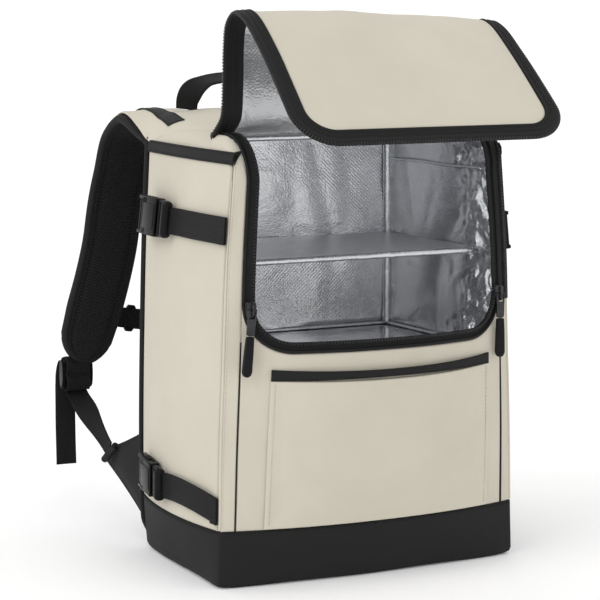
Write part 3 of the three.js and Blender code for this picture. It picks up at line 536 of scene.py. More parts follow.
# %% Weave group
WEAVE, inside, out = group("woven threads", [("Place", VECTOR, None), ("Across", FLOAT, 900.0),
                                             ("Along", FLOAT, 900.0)], [("Height", FLOAT)])
parts = node(WEAVE, "ShaderNodeSeparateXYZ", {0: inside.outputs["Place"]})
sines = []
for axis, label in (("X", "Across"), ("Y", "Along")):
    turns = math_node(WEAVE, "MULTIPLY", parts.outputs[axis], inside.outputs[label])
    sines.append(math_node(WEAVE, "SINE", math_node(WEAVE, "MULTIPLY", turns, 2 * math.pi)))
crossed = math_node(WEAVE, "MULTIPLY", *sines)
lifted = math_node(WEAVE, "MULTIPLY_ADD", crossed, 0.5)
lifted.node.inputs[2].default_value = 0.5
WEAVE.links.new(lifted, out.inputs["Height"])
print("made group", WEAVE.name)

# %% [markdown]
# No cloth is one even colour: dye takes unevenly, it is handled, and dust settles. The tone group
# mixes two colours by a soft cloud with a little fine speckle in it, and gives the cloud as a value too.

# %% Tone group
TONE, inside, out = group("cloudy tone", [("Place", VECTOR, None), ("Size", FLOAT, 12.0),
                                          ("Light", COLOUR, None), ("Dark", COLOUR, None)],
                          [("Color", COLOUR), ("Cloud", FLOAT)])
cloud = node(TONE, "ShaderNodeTexNoise", {"Vector": inside.outputs["Place"], "Scale": inside.outputs["Size"],
                                          "Detail": 4.0, "Roughness": 0.6})
speckle = node(TONE, "ShaderNodeTexNoise", {"Vector": inside.outputs["Place"], "Scale": 900.0, "Detail": 1.0})
both = math_node(TONE, "MULTIPLY_ADD", speckle.outputs[0], 0.25)
TONE.links.new(math_node(TONE, "MULTIPLY", cloud.outputs[0], 0.75), both.node.inputs[2])
spread = node(TONE, "ShaderNodeMapRange", {"Value": both, "From Min": 0.32, "From Max": 0.68})
mix = node(TONE, "ShaderNodeMix", {0: spread.outputs[0], 6: inside.outputs["Dark"],
                                   7: inside.outputs["Light"]}, data_type="RGBA")
TONE.links.new(mix.outputs[2], out.inputs["Color"])
TONE.links.new(spread.outputs[0], out.inputs["Cloud"])
print("made group", TONE.name)

# %% [markdown]
# Moulded plastic, rubber and dull metal all have a fine sandy grain. One noise does for all three.

# %% Grain group
GRAIN, inside, out = group("fine grain", [("Place", VECTOR, None), ("Size", FLOAT, 2500.0)],
                           [("Height", FLOAT)])
sand = node(GRAIN, "ShaderNodeTexNoise", {"Vector": inside.outputs["Place"], "Scale": inside.outputs["Size"],
                                          "Detail": 2.0})
GRAIN.links.new(sand.outputs[0], out.inputs["Height"])
print("made group", GRAIN.name)

# %% [markdown]
# Each finish starts alike: a Principled shader whose base colour comes from the tone group, whose
# roughness follows the same cloud, and whose normal comes from a bump. Only the height differs.

# %% Finish starter


def start(name, slot, light, dark, rough, metallic=0.0, place="UV", size=12.0, specular=0.5):
    """A material with its shader, tone and roughness set, and the place that its patterns read."""
    material = bpy.data.materials.new(name)
    material.use_nodes = True
    tree = material.node_tree
    shader = tree.nodes["Principled BSDF"]
    shader.inputs["Metallic"].default_value = metallic
    shader.inputs["Specular IOR Level"].default_value = specular
    spots = node(tree, "ShaderNodeTexCoord")
    tone = node(tree, "ShaderNodeGroup", {"Place": spots.outputs["Object"], "Size": size,
                                          "Light": (*light, 1), "Dark": (*dark, 1)}, node_tree=TONE)
    tree.links.new(tone.outputs["Color"], shader.inputs["Base Color"])
    worn = node(tree, "ShaderNodeMapRange", {"Value": tone.outputs["Cloud"], "To Min": rough[0],
                                             "To Max": rough[1]})
    tree.links.new(worn.outputs[0], shader.inputs["Roughness"])
    FINISH[name] = (material, slot)
    return tree, shader, spots.outputs[place], spots.outputs["Object"]


def bump(tree, shader, height, strength, distance, below=None):
    made = node(tree, "ShaderNodeBump", {"Height": height, "Strength": strength, "Distance": distance})
    if below is not None:
        tree.links.new(below.outputs[0], made.inputs["Normal"])
    tree.links.new(made.outputs[0], shader.inputs["Normal"])
    return made


def woven(tree, place, across, along):
    inputs = {"Place": place, "Across": across, "Along": along}
    return node(tree, "ShaderNodeGroup", inputs, node_tree=WEAVE).outputs["Height"]


def grain(tree, place, size):
    return node(tree, "ShaderNodeGroup", {"Place": place, "Size": size}, node_tree=GRAIN).outputs["Height"]


print("finish starter ready")

# %% [markdown]
# Cream and black cloth are both plain woven polyester, the black one a little coarser and shinier. The
# air mesh is a knit with rows of small holes set in a hexagon pattern, so its map is slanted first. Its
# holes are painted darker than the knit, as painted shade in them.

# %% Woven cloths and air mesh
tree, shader, place, spot = start("cream", "cream_fabric", (0.608, 0.568, 0.474), (0.568, 0.528, 0.438),
                                  (0.75, 0.9), specular=0.3)
shader.inputs["Sheen Weight"].default_value = 0.12
soft = node(tree, "ShaderNodeTexNoise", {"Vector": spot, "Scale": 34.0, "Detail": 3.0})
dents = bump(tree, shader, soft.outputs[0], 0.25, 0.002)
bump(tree, shader, woven(tree, place, 950.0, 950.0), 0.35, 0.0004, dents)

tree, shader, place, spot = start("black", "black_fabric", (0.0160, 0.0155, 0.0155), (0.0108, 0.0105, 0.0105),
                                  (0.58, 0.75), specular=0.18)
bump(tree, shader, woven(tree, place, 800.0, 800.0), 0.45, 0.0005)

tree, shader, place, spot = start("tape", "black_fabric", (0.0095, 0.0092, 0.009), (0.006, 0.0058, 0.0057),
                                  (0.5, 0.66), specular=0.22)
bump(tree, shader, woven(tree, place, 620.0, 900.0), 0.5, 0.0005)

tree, shader, place, spot = start("mesh", "mesh_fabric", (0.0125, 0.0125, 0.0125), (0.007, 0.007, 0.007),
                                  (0.75, 0.9), specular=0.3)
HEX_RISE = 0.866
flat = node(tree, "ShaderNodeSeparateXYZ", {0: place})
slanted = math_node(tree, "MULTIPLY_ADD", flat.outputs["Y"], 0.5)
tree.links.new(flat.outputs["X"], slanted.node.inputs[2])
squeezed = math_node(tree, "MULTIPLY", flat.outputs["Y"], HEX_RISE)
rows = node(tree, "ShaderNodeCombineXYZ", {"X": slanted, "Y": squeezed})
cells = node(tree, "ShaderNodeTexVoronoi", {"Vector": rows.outputs[0], "Scale": 330.0, "Randomness": 0.0},
             voronoi_dimensions="2D")
holes = node(tree, "ShaderNodeMapRange", {"Value": cells.outputs["Distance"],
                                          "From Min": 0.12, "From Max": 0.4})
bump(tree, shader, holes.outputs[0], 0.9, 0.0012)
tone = shader.inputs["Base Color"].links[0].from_socket
# The holes are coloured darker than the knit: painted shade in the holes.
HOLE_SHADE_COLOUR = (0.0025, 0.0025, 0.0025, 1)
knit_and_hole_shade = node(tree, "ShaderNodeMix", {0: holes.outputs[0], 6: HOLE_SHADE_COLOUR, 7: tone}, data_type="RGBA")
tree.links.new(knit_and_hole_shade.outputs[2], shader.inputs["Base Color"])
print("cloths:", ", ".join(FINISH))

# %% [markdown]
# Webbing is woven with strong ribs along its length. The foil is a bright film on a thin backing, pressed
# with a tiny diamond grid and full of soft dents, which is why it glitters instead of mirroring. The walls,
# the shelf, the floor and the lid differ only in how bright, smooth and dented the same film is: the shelf's
# and the floor's are painted lighter, as painted light, and the lid's darker, as painted shade.

# %% Webbing and foil
tree, shader, place, spot = start("webbing", "webbing", (0.0115, 0.0112, 0.0115), (0.0075, 0.0073, 0.0075),
                                  (0.5, 0.66), specular=0.15)
ribs = math_node(tree, "SINE", math_node(tree, "MULTIPLY", node(
    tree, "ShaderNodeSeparateXYZ", {0: place}).outputs["X"], 2 * math.pi * 380))
ribbed = math_node(tree, "MULTIPLY_ADD", ribs, 0.35)
tree.links.new(woven(tree, place, 380.0, 620.0), ribbed.node.inputs[2])
bump(tree, shader, ribbed, 0.55, 0.0006)

FOILS = (
    # name, light, dark, roughness, metallic, strength of the pressed grid, and of the dents
    ("foil", (0.65, 0.66, 0.68), (0.56, 0.57, 0.59), (0.16, 0.25), 0.9, 0.5, 0.35),
    # the shelf's and the floor's rows are painted lighter than the walls', as painted light; the lid's
    # darker, as painted shade
    ("smooth foil", (0.86, 0.87, 0.89), (0.78, 0.79, 0.81), (0.28, 0.4), 0.75, 0.2, 0.35),
    ("floor foil", (0.95, 0.955, 0.97), (0.88, 0.885, 0.9), (0.12, 0.2), 0.95, 0.15, 0.1),
    ("lid foil", (0.50, 0.505, 0.515), (0.42, 0.425, 0.435), (0.18, 0.28), 0.9, 0.55, 0.35),
)
for name, light, dark, rough, metallic, strength, dent in FOILS:
    tree, shader, place, spot = start(name, "foil", light, dark, rough, metallic, size=20.0)
    crushed = node(tree, "ShaderNodeTexNoise", {"Vector": spot, "Scale": 30.0, "Detail": 2.5,
                                                "Distortion": 0.4})
    dents = bump(tree, shader, crushed.outputs[0], dent, 0.006)
    patches = node(tree, "ShaderNodeTexNoise", {"Vector": spot, "Scale": 16.0, "Detail": 2.0})
    pressed = node(tree, "ShaderNodeMapRange", {"Value": patches.outputs[0], "From Min": 0.42,
                                                "From Max": 0.62, "To Min": 0.05, "To Max": 0.5})
    grid = math_node(tree, "MULTIPLY", woven(tree, place, 230.0, 230.0), pressed.outputs[0])
    glitter = math_node(tree, "MULTIPLY_ADD", grain(tree, spot, 420.0), 1.1)
    tree.links.new(grid, glitter.node.inputs[2])
    bump(tree, shader, glitter, strength, 0.0009, dents)
print("finishes:", ", ".join(FINISH))

# %% [markdown]
# The hard pieces are satin black plastic, dark plated metal and a softer rubber for the pull grips.
# The zips' coil is black plastic coloured lighter, as a painted highlight on its beads.
# Thread gets a finish of its own, a shade off its cloth, so that a row of stitches reads as one.

# %% Plastic, metal, rubber and thread
HARD = (
    # name, slot, light, dark, roughness, metallic
    ("plastic", "black_plastic", (0.009, 0.009, 0.0095), (0.006, 0.006, 0.0065), (0.2, 0.34), 0.0),
    ("metal", "gunmetal", (0.075, 0.075, 0.08), (0.03, 0.03, 0.032), (0.2, 0.34), 1.0),
    ("rubber", "black_rubber", (0.012, 0.0108, 0.013), (0.008, 0.0074, 0.009), (0.4, 0.54), 0.0),
    # The coil is coloured lighter than the other black plastic: painted highlight on its glossy beads.
    ("coil", "black_plastic", (0.045, 0.045, 0.046), (0.025, 0.025, 0.026), (0.14, 0.24), 0.0),
    ("cream thread", "cream_fabric", (0.62, 0.575, 0.49), (0.55, 0.51, 0.43), (0.6, 0.75), 0.0),
    ("black thread", "black_fabric", (0.024, 0.024, 0.024), (0.016, 0.016, 0.016), (0.5, 0.65), 0.0),
)
for name, slot, light, dark, rough, metallic in HARD:
    tree, shader, place, spot = start(name, slot, light, dark, rough, metallic, place="Object", size=60.0,
                                      specular=0.1)
    bump(tree, shader, grain(tree, spot, 2600.0), 0.12, 0.0003)
print("finishes:", len(FINISH))

# %% [markdown]
# ## Boot
# The bottom of the bag is a tray of coated black cloth: a front, two sides and a back sewn at the
# corners and turned under round the heel. One lofted bowl would lose the corner seams, so each wall is
# its own sheet, and a stiff base closes it below.

# %% Boot
BOOT = {"top": 61.5, "proud": 0.9, "depth": 3.2, "heel": 7.0, "under": 12.0, "sewn": (0.985, 0.955)}
BASE = {"bow": 150.0, "front_in": 14.0, "back_in": 12.0, "half": (168.0, 158.0), "z": 0.7}


def heel(share):
    """Inset and height on the way from under the base, round the heel and up to the top edge."""
    arc = BOOT["heel"] * math.pi / 2
    way = share * (BOOT["under"] + arc + BOOT["top"] - BOOT["heel"])
    turn = np.clip((way - BOOT["under"]) / BOOT["heel"], 0, np.pi / 2)
    inset = BOOT["heel"] * (1 - np.sin(turn)) + np.maximum(BOOT["under"] - way, 0)
    return inset, BOOT["heel"] * (1 - np.cos(turn)) + np.maximum(way - BOOT["under"] - arc, 0)


def boot_front(u, v):
    inset, z = heel(v)
    share = 2 * u - 1
    corner = body("corner", z)
    x = share * (corner + BOOT["proud"] - inset)
    return xyz(x, front_y(share * corner, z) + inset - BOOT["proud"], z)


def boot_side(u, v):
    inset, z = heel(v)
    y = lerp(CORNER_Y - BOOT["proud"] + inset, BACK_Y - inset, u)
    return xyz(-(side_x(np.maximum(y, CORNER_Y), z) + BOOT["proud"] - inset), y, z)


def boot_back(u, v):
    inset, z = heel(v)
    return xyz((1 - 2 * u) * (body("back", z) - inset), BACK_Y - inset, z)


def boot_slack(points, u, v):
    return 0.9 * waves(points * (0.6, 0.6, 1.4), 90, 4)


def boot_base(u, v):
    share = 2 * u - 1
    y = lerp(front_y(share * BASE["bow"], 0) + BASE["front_in"], BACK_Y - BASE["back_in"], v)
    return xyz(share * lerp(*BASE["half"], v), y, BASE["z"])


cloth("boot_front", boot_front, BOOT["depth"], "black", 90, 26, relief=boot_slack, stands_for=["base_boot"],
      rests_on=["base_boot"])
for side, mirror in SIDES:
    cloth(f"boot_side_{side}", boot_side, BOOT["depth"], "black", 60, 26, facing=-1, relief=boot_slack,
          mirror=mirror, rests_on=["base_boot"])
    for share in BOOT["sewn"]:
        stitch("black", boot_side, np.linspace(0.01, 0.99, 160), share, -1, mirror)
cloth("boot_back", boot_back, BOOT["depth"], "black", 50, 20, rests_on=["base_boot"])
cloth("boot_base", boot_base, BOOT["depth"], "black", 40, 30, facing=-1, rests_on=["base_boot"])
for share in BOOT["sewn"]:
    stitch("black", boot_front, np.linspace(0.01, 0.99, 240), share)
print("boot stands", BOOT["top"], "mm high")

# %% [markdown]
# ## Cream walls
# Each side is a foam-backed panel that swells between its seams. The narrow gusset beside the zip
# follows the bowed front up and turns over the shoulder to the lid's hinge. Thin cords lie in the seams: a
# cream one at each front corner, a black one beside the front panel. Cloth simulation could puff the
# panels, but their swell is known from the outline, so small random slack on the surface is enough.

# %% Side panels
STRAP_LINES = (376.0, 86.0)
SEAM_STEPS = 200


def side_wall(u, v):
    y = lerp(CORNER_Y + PANEL + GAP, BACK_Y, u)
    round_by = RIM_CORNER + PANEL + 4 * GAP
    beyond = np.maximum(CORNER_Y + round_by - y, 0)
    high = RIM_Z - PANEL - TAPE - round_by + np.sqrt(np.maximum(round_by ** 2 - beyond ** 2, 0))
    z = lerp(BOOT_TOP + GAP, high, v)
    return xyz(-side_x(y, z), y, z)


def side_slack(points, u, v):
    pressed = sum(np.exp(-((points[..., 2] - z) / 26) ** 2) for z in STRAP_LINES)
    folds = waves(points * (1, 1.0, 0.55), 60, 11)
    return 0.9 * waves(points, 150, 7) + 0.35 * folds - 1.6 * pressed


for side, mirror in SIDES:
    cloth(f"side_panel_cloth_{side}", side_wall, PANEL, "cream", 60, 100, facing=-1, relief=side_slack,
          roll=3.4, mirror=mirror, stands_for=[f"side_panel_{side}"], rests_on=[f"side_panel_{side}"])
print("side panels made")

# %% Gussets
CORNER_SEAM = {"r": 1.7, "thin": 0.3, "from": 0.55, "sunk": 1.6}


def rim_point(share):
    """Outer edge of the gusset where it leaves the corner seam and runs back along the rim."""
    upright = RIM_Z - RIM_CORNER - SHOULDER_Z
    arc = RIM_CORNER * math.pi / 2
    way = share * (upright + arc + HINGE_Y - CORNER_Y - RIM_CORNER)
    turn = np.clip((way - upright) / RIM_CORNER, 0, np.pi / 2)
    y = CORNER_Y + RIM_CORNER * (1 - np.cos(turn)) + np.maximum(way - upright - arc, 0)
    z = SHOULDER_Z + np.minimum(way, upright) + RIM_CORNER * np.sin(turn)
    return xyz(-lerp(body("corner", z), top_half(y), share), y, z)


def gusset(u, v):
    way = lerp(BOOT_TOP + GAP, HINGE_END, v)
    zip_line = zip_x(way)
    low = wrap(-lerp(zip_line, body("corner", np.minimum(way, SHOULDER_Z)), u), np.minimum(way, SHOULDER_Z))
    over = np.clip((way - SHOULDER_Z) / (HINGE_END - SHOULDER_Z), 0, 1)
    inner = wrap(-zip_line, way)
    outer = rim_point(over)
    middle = (inner + outer) / 2
    crest = xyz(outer[..., 0], middle[..., 1], inner[..., 2])
    bend = lerp(middle, crest, ease(over, 0, 0.5)[..., None])
    u = u[..., None]
    arch = inner * (1 - u) ** 2 + bend * 2 * u * (1 - u) + outer * u * u
    return np.where((way > SHOULDER_Z)[..., None], arch, low)


def gusset_share(over):
    """Share along the gusset of a share of its way over the shoulder."""
    return (SHOULDER_Z + over * (HINGE_END - SHOULDER_Z) - BOOT_TOP - GAP) / (HINGE_END - BOOT_TOP - GAP)


def gusset_slack(points, u, v):
    return 0.5 * waves(points * (1, 1, 0.5), 45, 21)


for side, mirror in SIDES:
    cloth(f"gusset_cloth_{side}", gusset, PANEL, "cream", 22, 150, facing=-1, relief=gusset_slack, roll=2.6,
          fade=8, mirror=mirror, stands_for=[f"front_gusset_{side}"], rests_on=[f"front_gusset_{side}"])
    stitch("cream", gusset, 0.86, np.linspace(0.01, 0.86, SEAM_STEPS), -1, mirror)
    ways = np.linspace(0.005, gusset_share(0), 120)
    thin = lerp(1, CORNER_SEAM["thin"], ease(ways, CORNER_SEAM["from"] * ways[-1], ways[-1]))
    seam = gusset(1 + 0 * ways, ways) + (0, CORNER_SEAM["sunk"], 0)
    make(f"corner_seam_{side}", *rod(seam, CORNER_SEAM["r"] * thin, 8), "cream", mirror=mirror)
print("gussets made")

# %% Front panel
FRONT_SEAM = {"top": 262.0, "sunk": 0.7, "left": 0.9, "right": 1.4}


def opening_edge(u, inset):
    """Lower edge of the opening with its round corners, from left to right, drawn in by inset."""
    flat = zip_x(OPEN_Z + OPEN_R) - OPEN_R
    way = (2 * u - 1) * (flat + OPEN_R * math.pi / 2)
    turn = np.maximum(np.abs(way) - flat, 0) / OPEN_R
    r = OPEN_R - inset
    x = np.sign(way) * (np.minimum(np.abs(way), flat) + r * np.sin(turn))
    return x, OPEN_Z + OPEN_R - r * np.cos(turn)


def front_wall(u, v):
    edge_x, edge_z = opening_edge(u, 0)
    z = lerp(BOOT_TOP + GAP, edge_z, v)
    return wrap(lerp(2 * u - 1, edge_x / zip_x(edge_z), v) * (zip_x(z) - GAP), z)


def front_slack(points, u, v):
    return 0.7 * waves(points, 110, 31) + 0.3 * waves(points, 40, 32)


cloth("front_panel_cloth", front_wall, PANEL, "cream", 110, 60, relief=front_slack, roll=2.6,
      stands_for=["front_panel"], rests_on=["front_panel"])
heights = np.linspace(BOOT_TOP + 1, FRONT_SEAM["top"], 90)
for side, mirror in SIDES:
    seam = wrap(-zip_x(heights), heights) + (0, FRONT_SEAM["sunk"], 0)
    make(f"front_seam_{side}", *rod(seam, FRONT_SEAM[side], 8), "black", mirror=mirror)
print("front panel made")

# %% Top panel
CREASE = {"x": 134.7, "slope": 0.245, "wide": 3.2, "deep": 1.6, "from": -38.0, "to": 112.0}


def top_wall(u, v):
    share = 2 * u - 1
    spread_out = np.sign(share) * (1 - (1 - np.abs(share)) ** 2)
    y = lerp(HINGE_Y + GAP, BACK_Y, v)
    x = spread_out * top_half(y)
    return xyz(x, y, top_z(x, y))


def top_slack(points, u, v):
    x, y = np.abs(points[..., 0]), points[..., 1]
    line = CREASE["x"] + CREASE["slope"] * y + 1.5 * np.sin(y / 30)
    fold = np.exp(-((x - line) / CREASE["wide"]) ** 2)
    held = ease(y, CREASE["from"], CREASE["from"] + 30) * (1 - ease(y, CREASE["to"] - 30, CREASE["to"]))
    return 1.1 * waves(points, 130, 41) + 0.4 * waves(points, 50, 42) - CREASE["deep"] * fold * held


cloth("top_panel_cloth", top_wall, PANEL, "cream", 90, 60, relief=top_slack, roll=2.6,
      stands_for=["top_panel"], rests_on=["top_panel"])
print("top panel made")

# %% [markdown]
# ## Rim bands
# A black tape hides the seam where each side meets the top. It is folded over the seam and sewn along
# both edges, so it is a narrow sheet that stands a little proud, with two rows of stitches. Its front end
# crosses the gusset to the zip. At the lid's hinge a short black roll, a cream piping and a small cream
# cheek close the corners between gusset, top and lid, where a real bag's layers bunch up.

# %% Rim bands
RIM_BAND = {"low": 446.6, "high": 459.6, "lean": 2.2, "forward": 1.2}
RIM_END = {"low": 0.19, "high": 0.36, "slant": 0.14, "from": 0.02, "lift": 1.4, "depth": 1.6}
HINGE_ROLL = {"r": 4.3, "x": (137.0, 157.0), "z": 472.4, "back": 1.0}
HINGE_PIPING = {"r": 2.4, "half": 139.0, "back": 1.2, "up": 0.9}
HINGE_CHEEK = {"bend": 0.3, "reach": 14.0, "sunk": 2.5, "forward": 1.5, "down": 1.2, "depth": 1.5}


def rim_band(u, v):
    y = lerp(CORNER_Y - RIM_BAND["forward"], BACK_Y, u)
    z = lerp(RIM_BAND["low"], RIM_BAND["high"], v)
    lean = RIM_BAND["lean"] * ease(z, RIM_Z - 1, RIM_BAND["high"])
    return xyz(-(side_x(np.maximum(y, CORNER_Y), np.minimum(z, RIM_Z)) + GAP + TAPE - lean), y, z)


def off_gusset(u, v, lift):
    """Point a little off the gusset's face, on which tapes are sewn."""
    spots, out = on(gusset, u, v, facing=-1)
    return spots + lift * out


def rim_end(u, v):
    """The band's front end, carried across the gusset to the zip."""
    low = RIM_END["low"] + RIM_END["slant"] * (1 - u)
    along = gusset_share(lerp(low, RIM_END["high"], v))
    return off_gusset(lerp(RIM_END["from"], 1.0, u), along, RIM_END["lift"])


def hinge_cheek(u, v):
    """The small upright cheek between the gusset's end and the top panel, which lies lower there."""
    bend = HINGE_CHEEK["bend"]
    past = np.clip((u - bend) / (1 - bend), 0, 1)
    high = gusset(past, 1.0 + 0 * u) + xyz(HINGE_CHEEK["reach"] * np.clip(1 - u / bend, 0, 1), 0, 0)
    foot_y = HINGE_Y + HINGE_CHEEK["sunk"]
    low = xyz(high[..., 0], foot_y, top_z(high[..., 0], foot_y) - HINGE_CHEEK["sunk"])
    return lerp(low, high - (0, HINGE_CHEEK["forward"], HINGE_CHEEK["down"]), v[..., None])


for side, mirror in SIDES:
    cloth(f"hinge_cheek_{side}", hinge_cheek, HINGE_CHEEK["depth"], "cream", 24, 8, roll=0.8, mirror=mirror,
          rests_on=["top_panel", f"front_gusset_{side}"])
    cloth(f"rim_tape_{side}", rim_band, TAPE, "black", 90, 12, facing=-1, roll=1.6, mirror=mirror,
          stands_for=[f"top_band_{side}"], rests_on=[f"top_band_{side}"])
    cloth(f"rim_end_{side}", rim_end, RIM_END["depth"], "black", 16, 10, facing=-1, roll=1.0, mirror=mirror,
          rests_on=[f"front_gusset_{side}"])
    for share in (0.14, 0.86):
        stitch("black", rim_band, np.linspace(0.005, 0.995, SEAM_STEPS), share, -1, mirror)
    rolled = xyz(-np.linspace(*HINGE_ROLL["x"], 30), HINGE_Y + HINGE_ROLL["back"], HINGE_ROLL["z"])
    make(f"hinge_roll_{side}", *rod(rolled, HINGE_ROLL["r"], 12), "tape", mirror=mirror)
seam_x = np.linspace(-HINGE_PIPING["half"], HINGE_PIPING["half"], 90)
hinge_seam = xyz(seam_x, HINGE_Y + HINGE_PIPING["back"], top_z(seam_x, HINGE_Y) + HINGE_PIPING["up"])
make("hinge_piping", *rod(hinge_seam, HINGE_PIPING["r"], 10), "cream")
print("rim tapes made")

# %% [markdown]
# ## Back pad
# Against the wearer's back lies thick foam under air mesh, sewn through in channels that let air pass.
# The photograph doesn't show it, so it gets the usual form: two columns of cushions, a piped edge and a
# tape that binds its top to the top panel. A cloth simulation would blur such narrow channels, so they
# are pressed into the net by a function.

# %% Back pad
BACK_PAD = {"low": 10.0, "high": 476.0, "arch": 440.0, "narrow": 0.75, "thin": 9.0, "thick": 21.0,
            "edge": 4.0}
CHANNELS = {"x": 0.0, "rows": (118.0, 226.0, 330.0), "wide": 7.0, "deep": 6.5}
PIPING_R = 3.4
BACK_CORD = {"low": 8.0, "above": 4.0, "turn": 6.0, "turn_end": 34.0}
BACK_TAPE = {"half": 114.0, "low": 458.0, "off": 10.0, "tuck": 2.4, "depth": 1.6}
TAPE_BEND = (
    # beyond the back, above the top panel's tucked edge
    (0.6, 0.0), (4.0, 1.0), (BACK_TAPE["off"] - 1.0, -6.0),
)


def back_half(z):
    arch = np.maximum(z - BACK_PAD["arch"], 0) / (BACK_PAD["high"] - BACK_PAD["arch"])
    return (body("back", z) - PIPING_R - 4 * GAP) * lerp(1, BACK_PAD["narrow"], arch ** 3)


def back_foot(u, v):
    z = lerp(BACK_PAD["low"], BACK_PAD["high"], v)
    return xyz((1 - 2 * u) * back_half(z), BACK_Y + GAP, z)


def back_swell(points, u, v):
    x, z = points[..., 0], points[..., 2]
    depth = lerp(BACK_PAD["thick"], BACK_PAD["thin"], ease(z, BOOT_TOP, BACK_PAD["high"]))
    crown = np.sqrt(np.maximum(1 - (2 * v - 1) ** 12, 0)) * np.sqrt(np.maximum(1 - (2 * u - 1) ** 14, 0))
    sewn = np.exp(-((x - CHANNELS["x"]) / (1.6 * CHANNELS["wide"])) ** 2)
    for row in CHANNELS["rows"]:
        sewn = np.maximum(sewn, np.exp(-((z - row) / CHANNELS["wide"]) ** 2))
    inner = ease(border(points), 12, 40)
    swell = lerp(BACK_PAD["edge"], depth * (1 - 0.1 * np.abs(2 * u - 1)), crown)
    return swell - CHANNELS["deep"] * sewn * inner


u, v = np.meshgrid(net(80), net(120))
foot = back_foot(u, v)
pad = between("back_pad", foot + (0, 1, 0) * back_swell(foot, u, v)[..., None], foot, "mesh",
              stands_for=["back_panel"])
for side, mirror in SIDES:
    heights = np.linspace(BACK_CORD["low"], RIM_Z + BACK_CORD["above"], 90)
    heel_in = BACK_CORD["turn"] * (1 - ease(heights, BACK_CORD["low"], BACK_CORD["turn_end"]))
    edge = xyz(-body("back", heights) + heel_in, BACK_Y + PIPING_R + GAP - heel_in, heights)
    make(f"back_cord_{side}", *rod(edge, PIPING_R, 12), "black", mirror=mirror,
         stands_for=[f"back_piping_{side}"])


def back_tape(u, v):
    """The tape that binds the top of the back, from the top panel's edge down on the pad."""
    x = (1 - 2 * u) * BACK_TAPE["half"]
    edge = top_z(x, BACK_Y) - BACK_TAPE["tuck"]
    corners = [xyz(x, BACK_Y + beyond, edge + above) for beyond, above in TAPE_BEND]
    corners.append(xyz(x, BACK_Y + BACK_TAPE["off"], BACK_TAPE["low"]))
    share = v[..., None]
    weights = ((1 - share) ** 3, 3 * share * (1 - share) ** 2, 3 * share ** 2 * (1 - share), share ** 3)
    return sum(w * c for w, c in zip(weights, corners))


cloth("back_tape", back_tape, BACK_TAPE["depth"], "black", 60, 30, facing=-1, roll=0.8,
      rests_on=["top_panel", "back_panel"])
for share in (0.12, 0.88):
    stitch("black", back_tape, np.linspace(0.01, 0.99, SEAM_STEPS), share, -1)
print("back pad made,", len(pad.data.polygons), "faces")

# %% [markdown]
# ## Foil lining
# The inside is a loose box of foil-faced sheet. It was folded flat and pressed out again, so it is full
# of soft dents with sharp creases here and there. A crushed-foil simulation is slow; folding the nets by
# bent, sharp-edged waves gives the same glitter, and the corner seams stay smooth as in the real one.

# %% Foil walls
LINING = {"back_y": 103.0, "back_x": 133.0, "front_x": 145.0, "front_y": -100.0, "roof": 7.3, "clear": 6.2,
          "arch_end": 0.9, "floor_z": 236.0}
FLARE = {"from": -58.0, "run": 48.0, "out": 9.0}


def lining_x(y):
    share = (LINING["back_y"] - y) / (LINING["back_y"] - LINING["front_y"])
    return lerp(LINING["back_x"], LINING["front_x"], share)


def roof_z(x, y):
    return top_z(x, y) - LINING["roof"]


def wall_top(x, y):
    return roof_z(x, y) - 1.5 * FOIL - GAP


def foil_side(u, v):
    arch = SHOULDER_R - LINING["clear"]
    back = LINING["back_y"] - GAP
    roof_y = np.maximum(lerp(LINING["front_y"], back, u), HINGE_Y)
    z = lerp(LINING["floor_z"] + GAP, wall_top(lining_x(roof_y) + FOIL, roof_y), v)
    over = np.clip((z - SHOULDER_Z) / arch, 0, LINING["arch_end"])
    foot = front_y(LINING["front_x"] + FOIL, np.minimum(z, SHOULDER_Z))
    y = lerp(foot + SHOULDER_R - arch * np.sqrt(1 - over ** 2), back, u)
    flare = FLARE["out"] * np.clip((FLARE["from"] - y) / FLARE["run"], 0, 1) ** 2
    return xyz(-lining_x(y) - flare, y, z)


def foil_back(u, v):
    x = (2 * u - 1) * (LINING["back_x"] + FOIL)
    z = lerp(LINING["floor_z"] + GAP, wall_top(x, LINING["back_y"] + FOIL), v)
    return xyz(x, LINING["back_y"], z)


def foil_roof(u, v):
    y = lerp(HINGE_Y + GAP, LINING["back_y"] + FOIL, v)
    x = (2 * u - 1) * (lining_x(y) + FOIL)
    return xyz(x, y, roof_z(x, y))


def foil_floor(u, v):
    share = 2 * u - 1
    front = front_y(share * LINING["front_x"], LINING["floor_z"]) + PANEL + TAPE
    y = lerp(front, LINING["back_y"] - GAP, v)
    return xyz(share * (np.minimum(lining_x(y), LINING["front_x"]) + FOIL), y, LINING["floor_z"])


def dented(size, depth, seed, crushed=0.0):
    """Relief of foil with soft upright folds, crushed finely where it is handled, near the bag's mouth."""
    def relief(points, u, v):
        folds = creases(points * (1, 1, 0.6), size, seed)
        swell = waves(points * (1, 1, 0.5), 1.7 * size, seed + 90)
        handled = 1 - ease(points[..., 1] + 14 * waves(points, 70, seed + 5), -62, -28)
        fine = creases(points, 24, seed + 50) + 0.45 * creases(points, 10, seed + 60)
        return depth * (1.2 * folds + 1.3 * swell) + crushed * handled * fine
    return relief


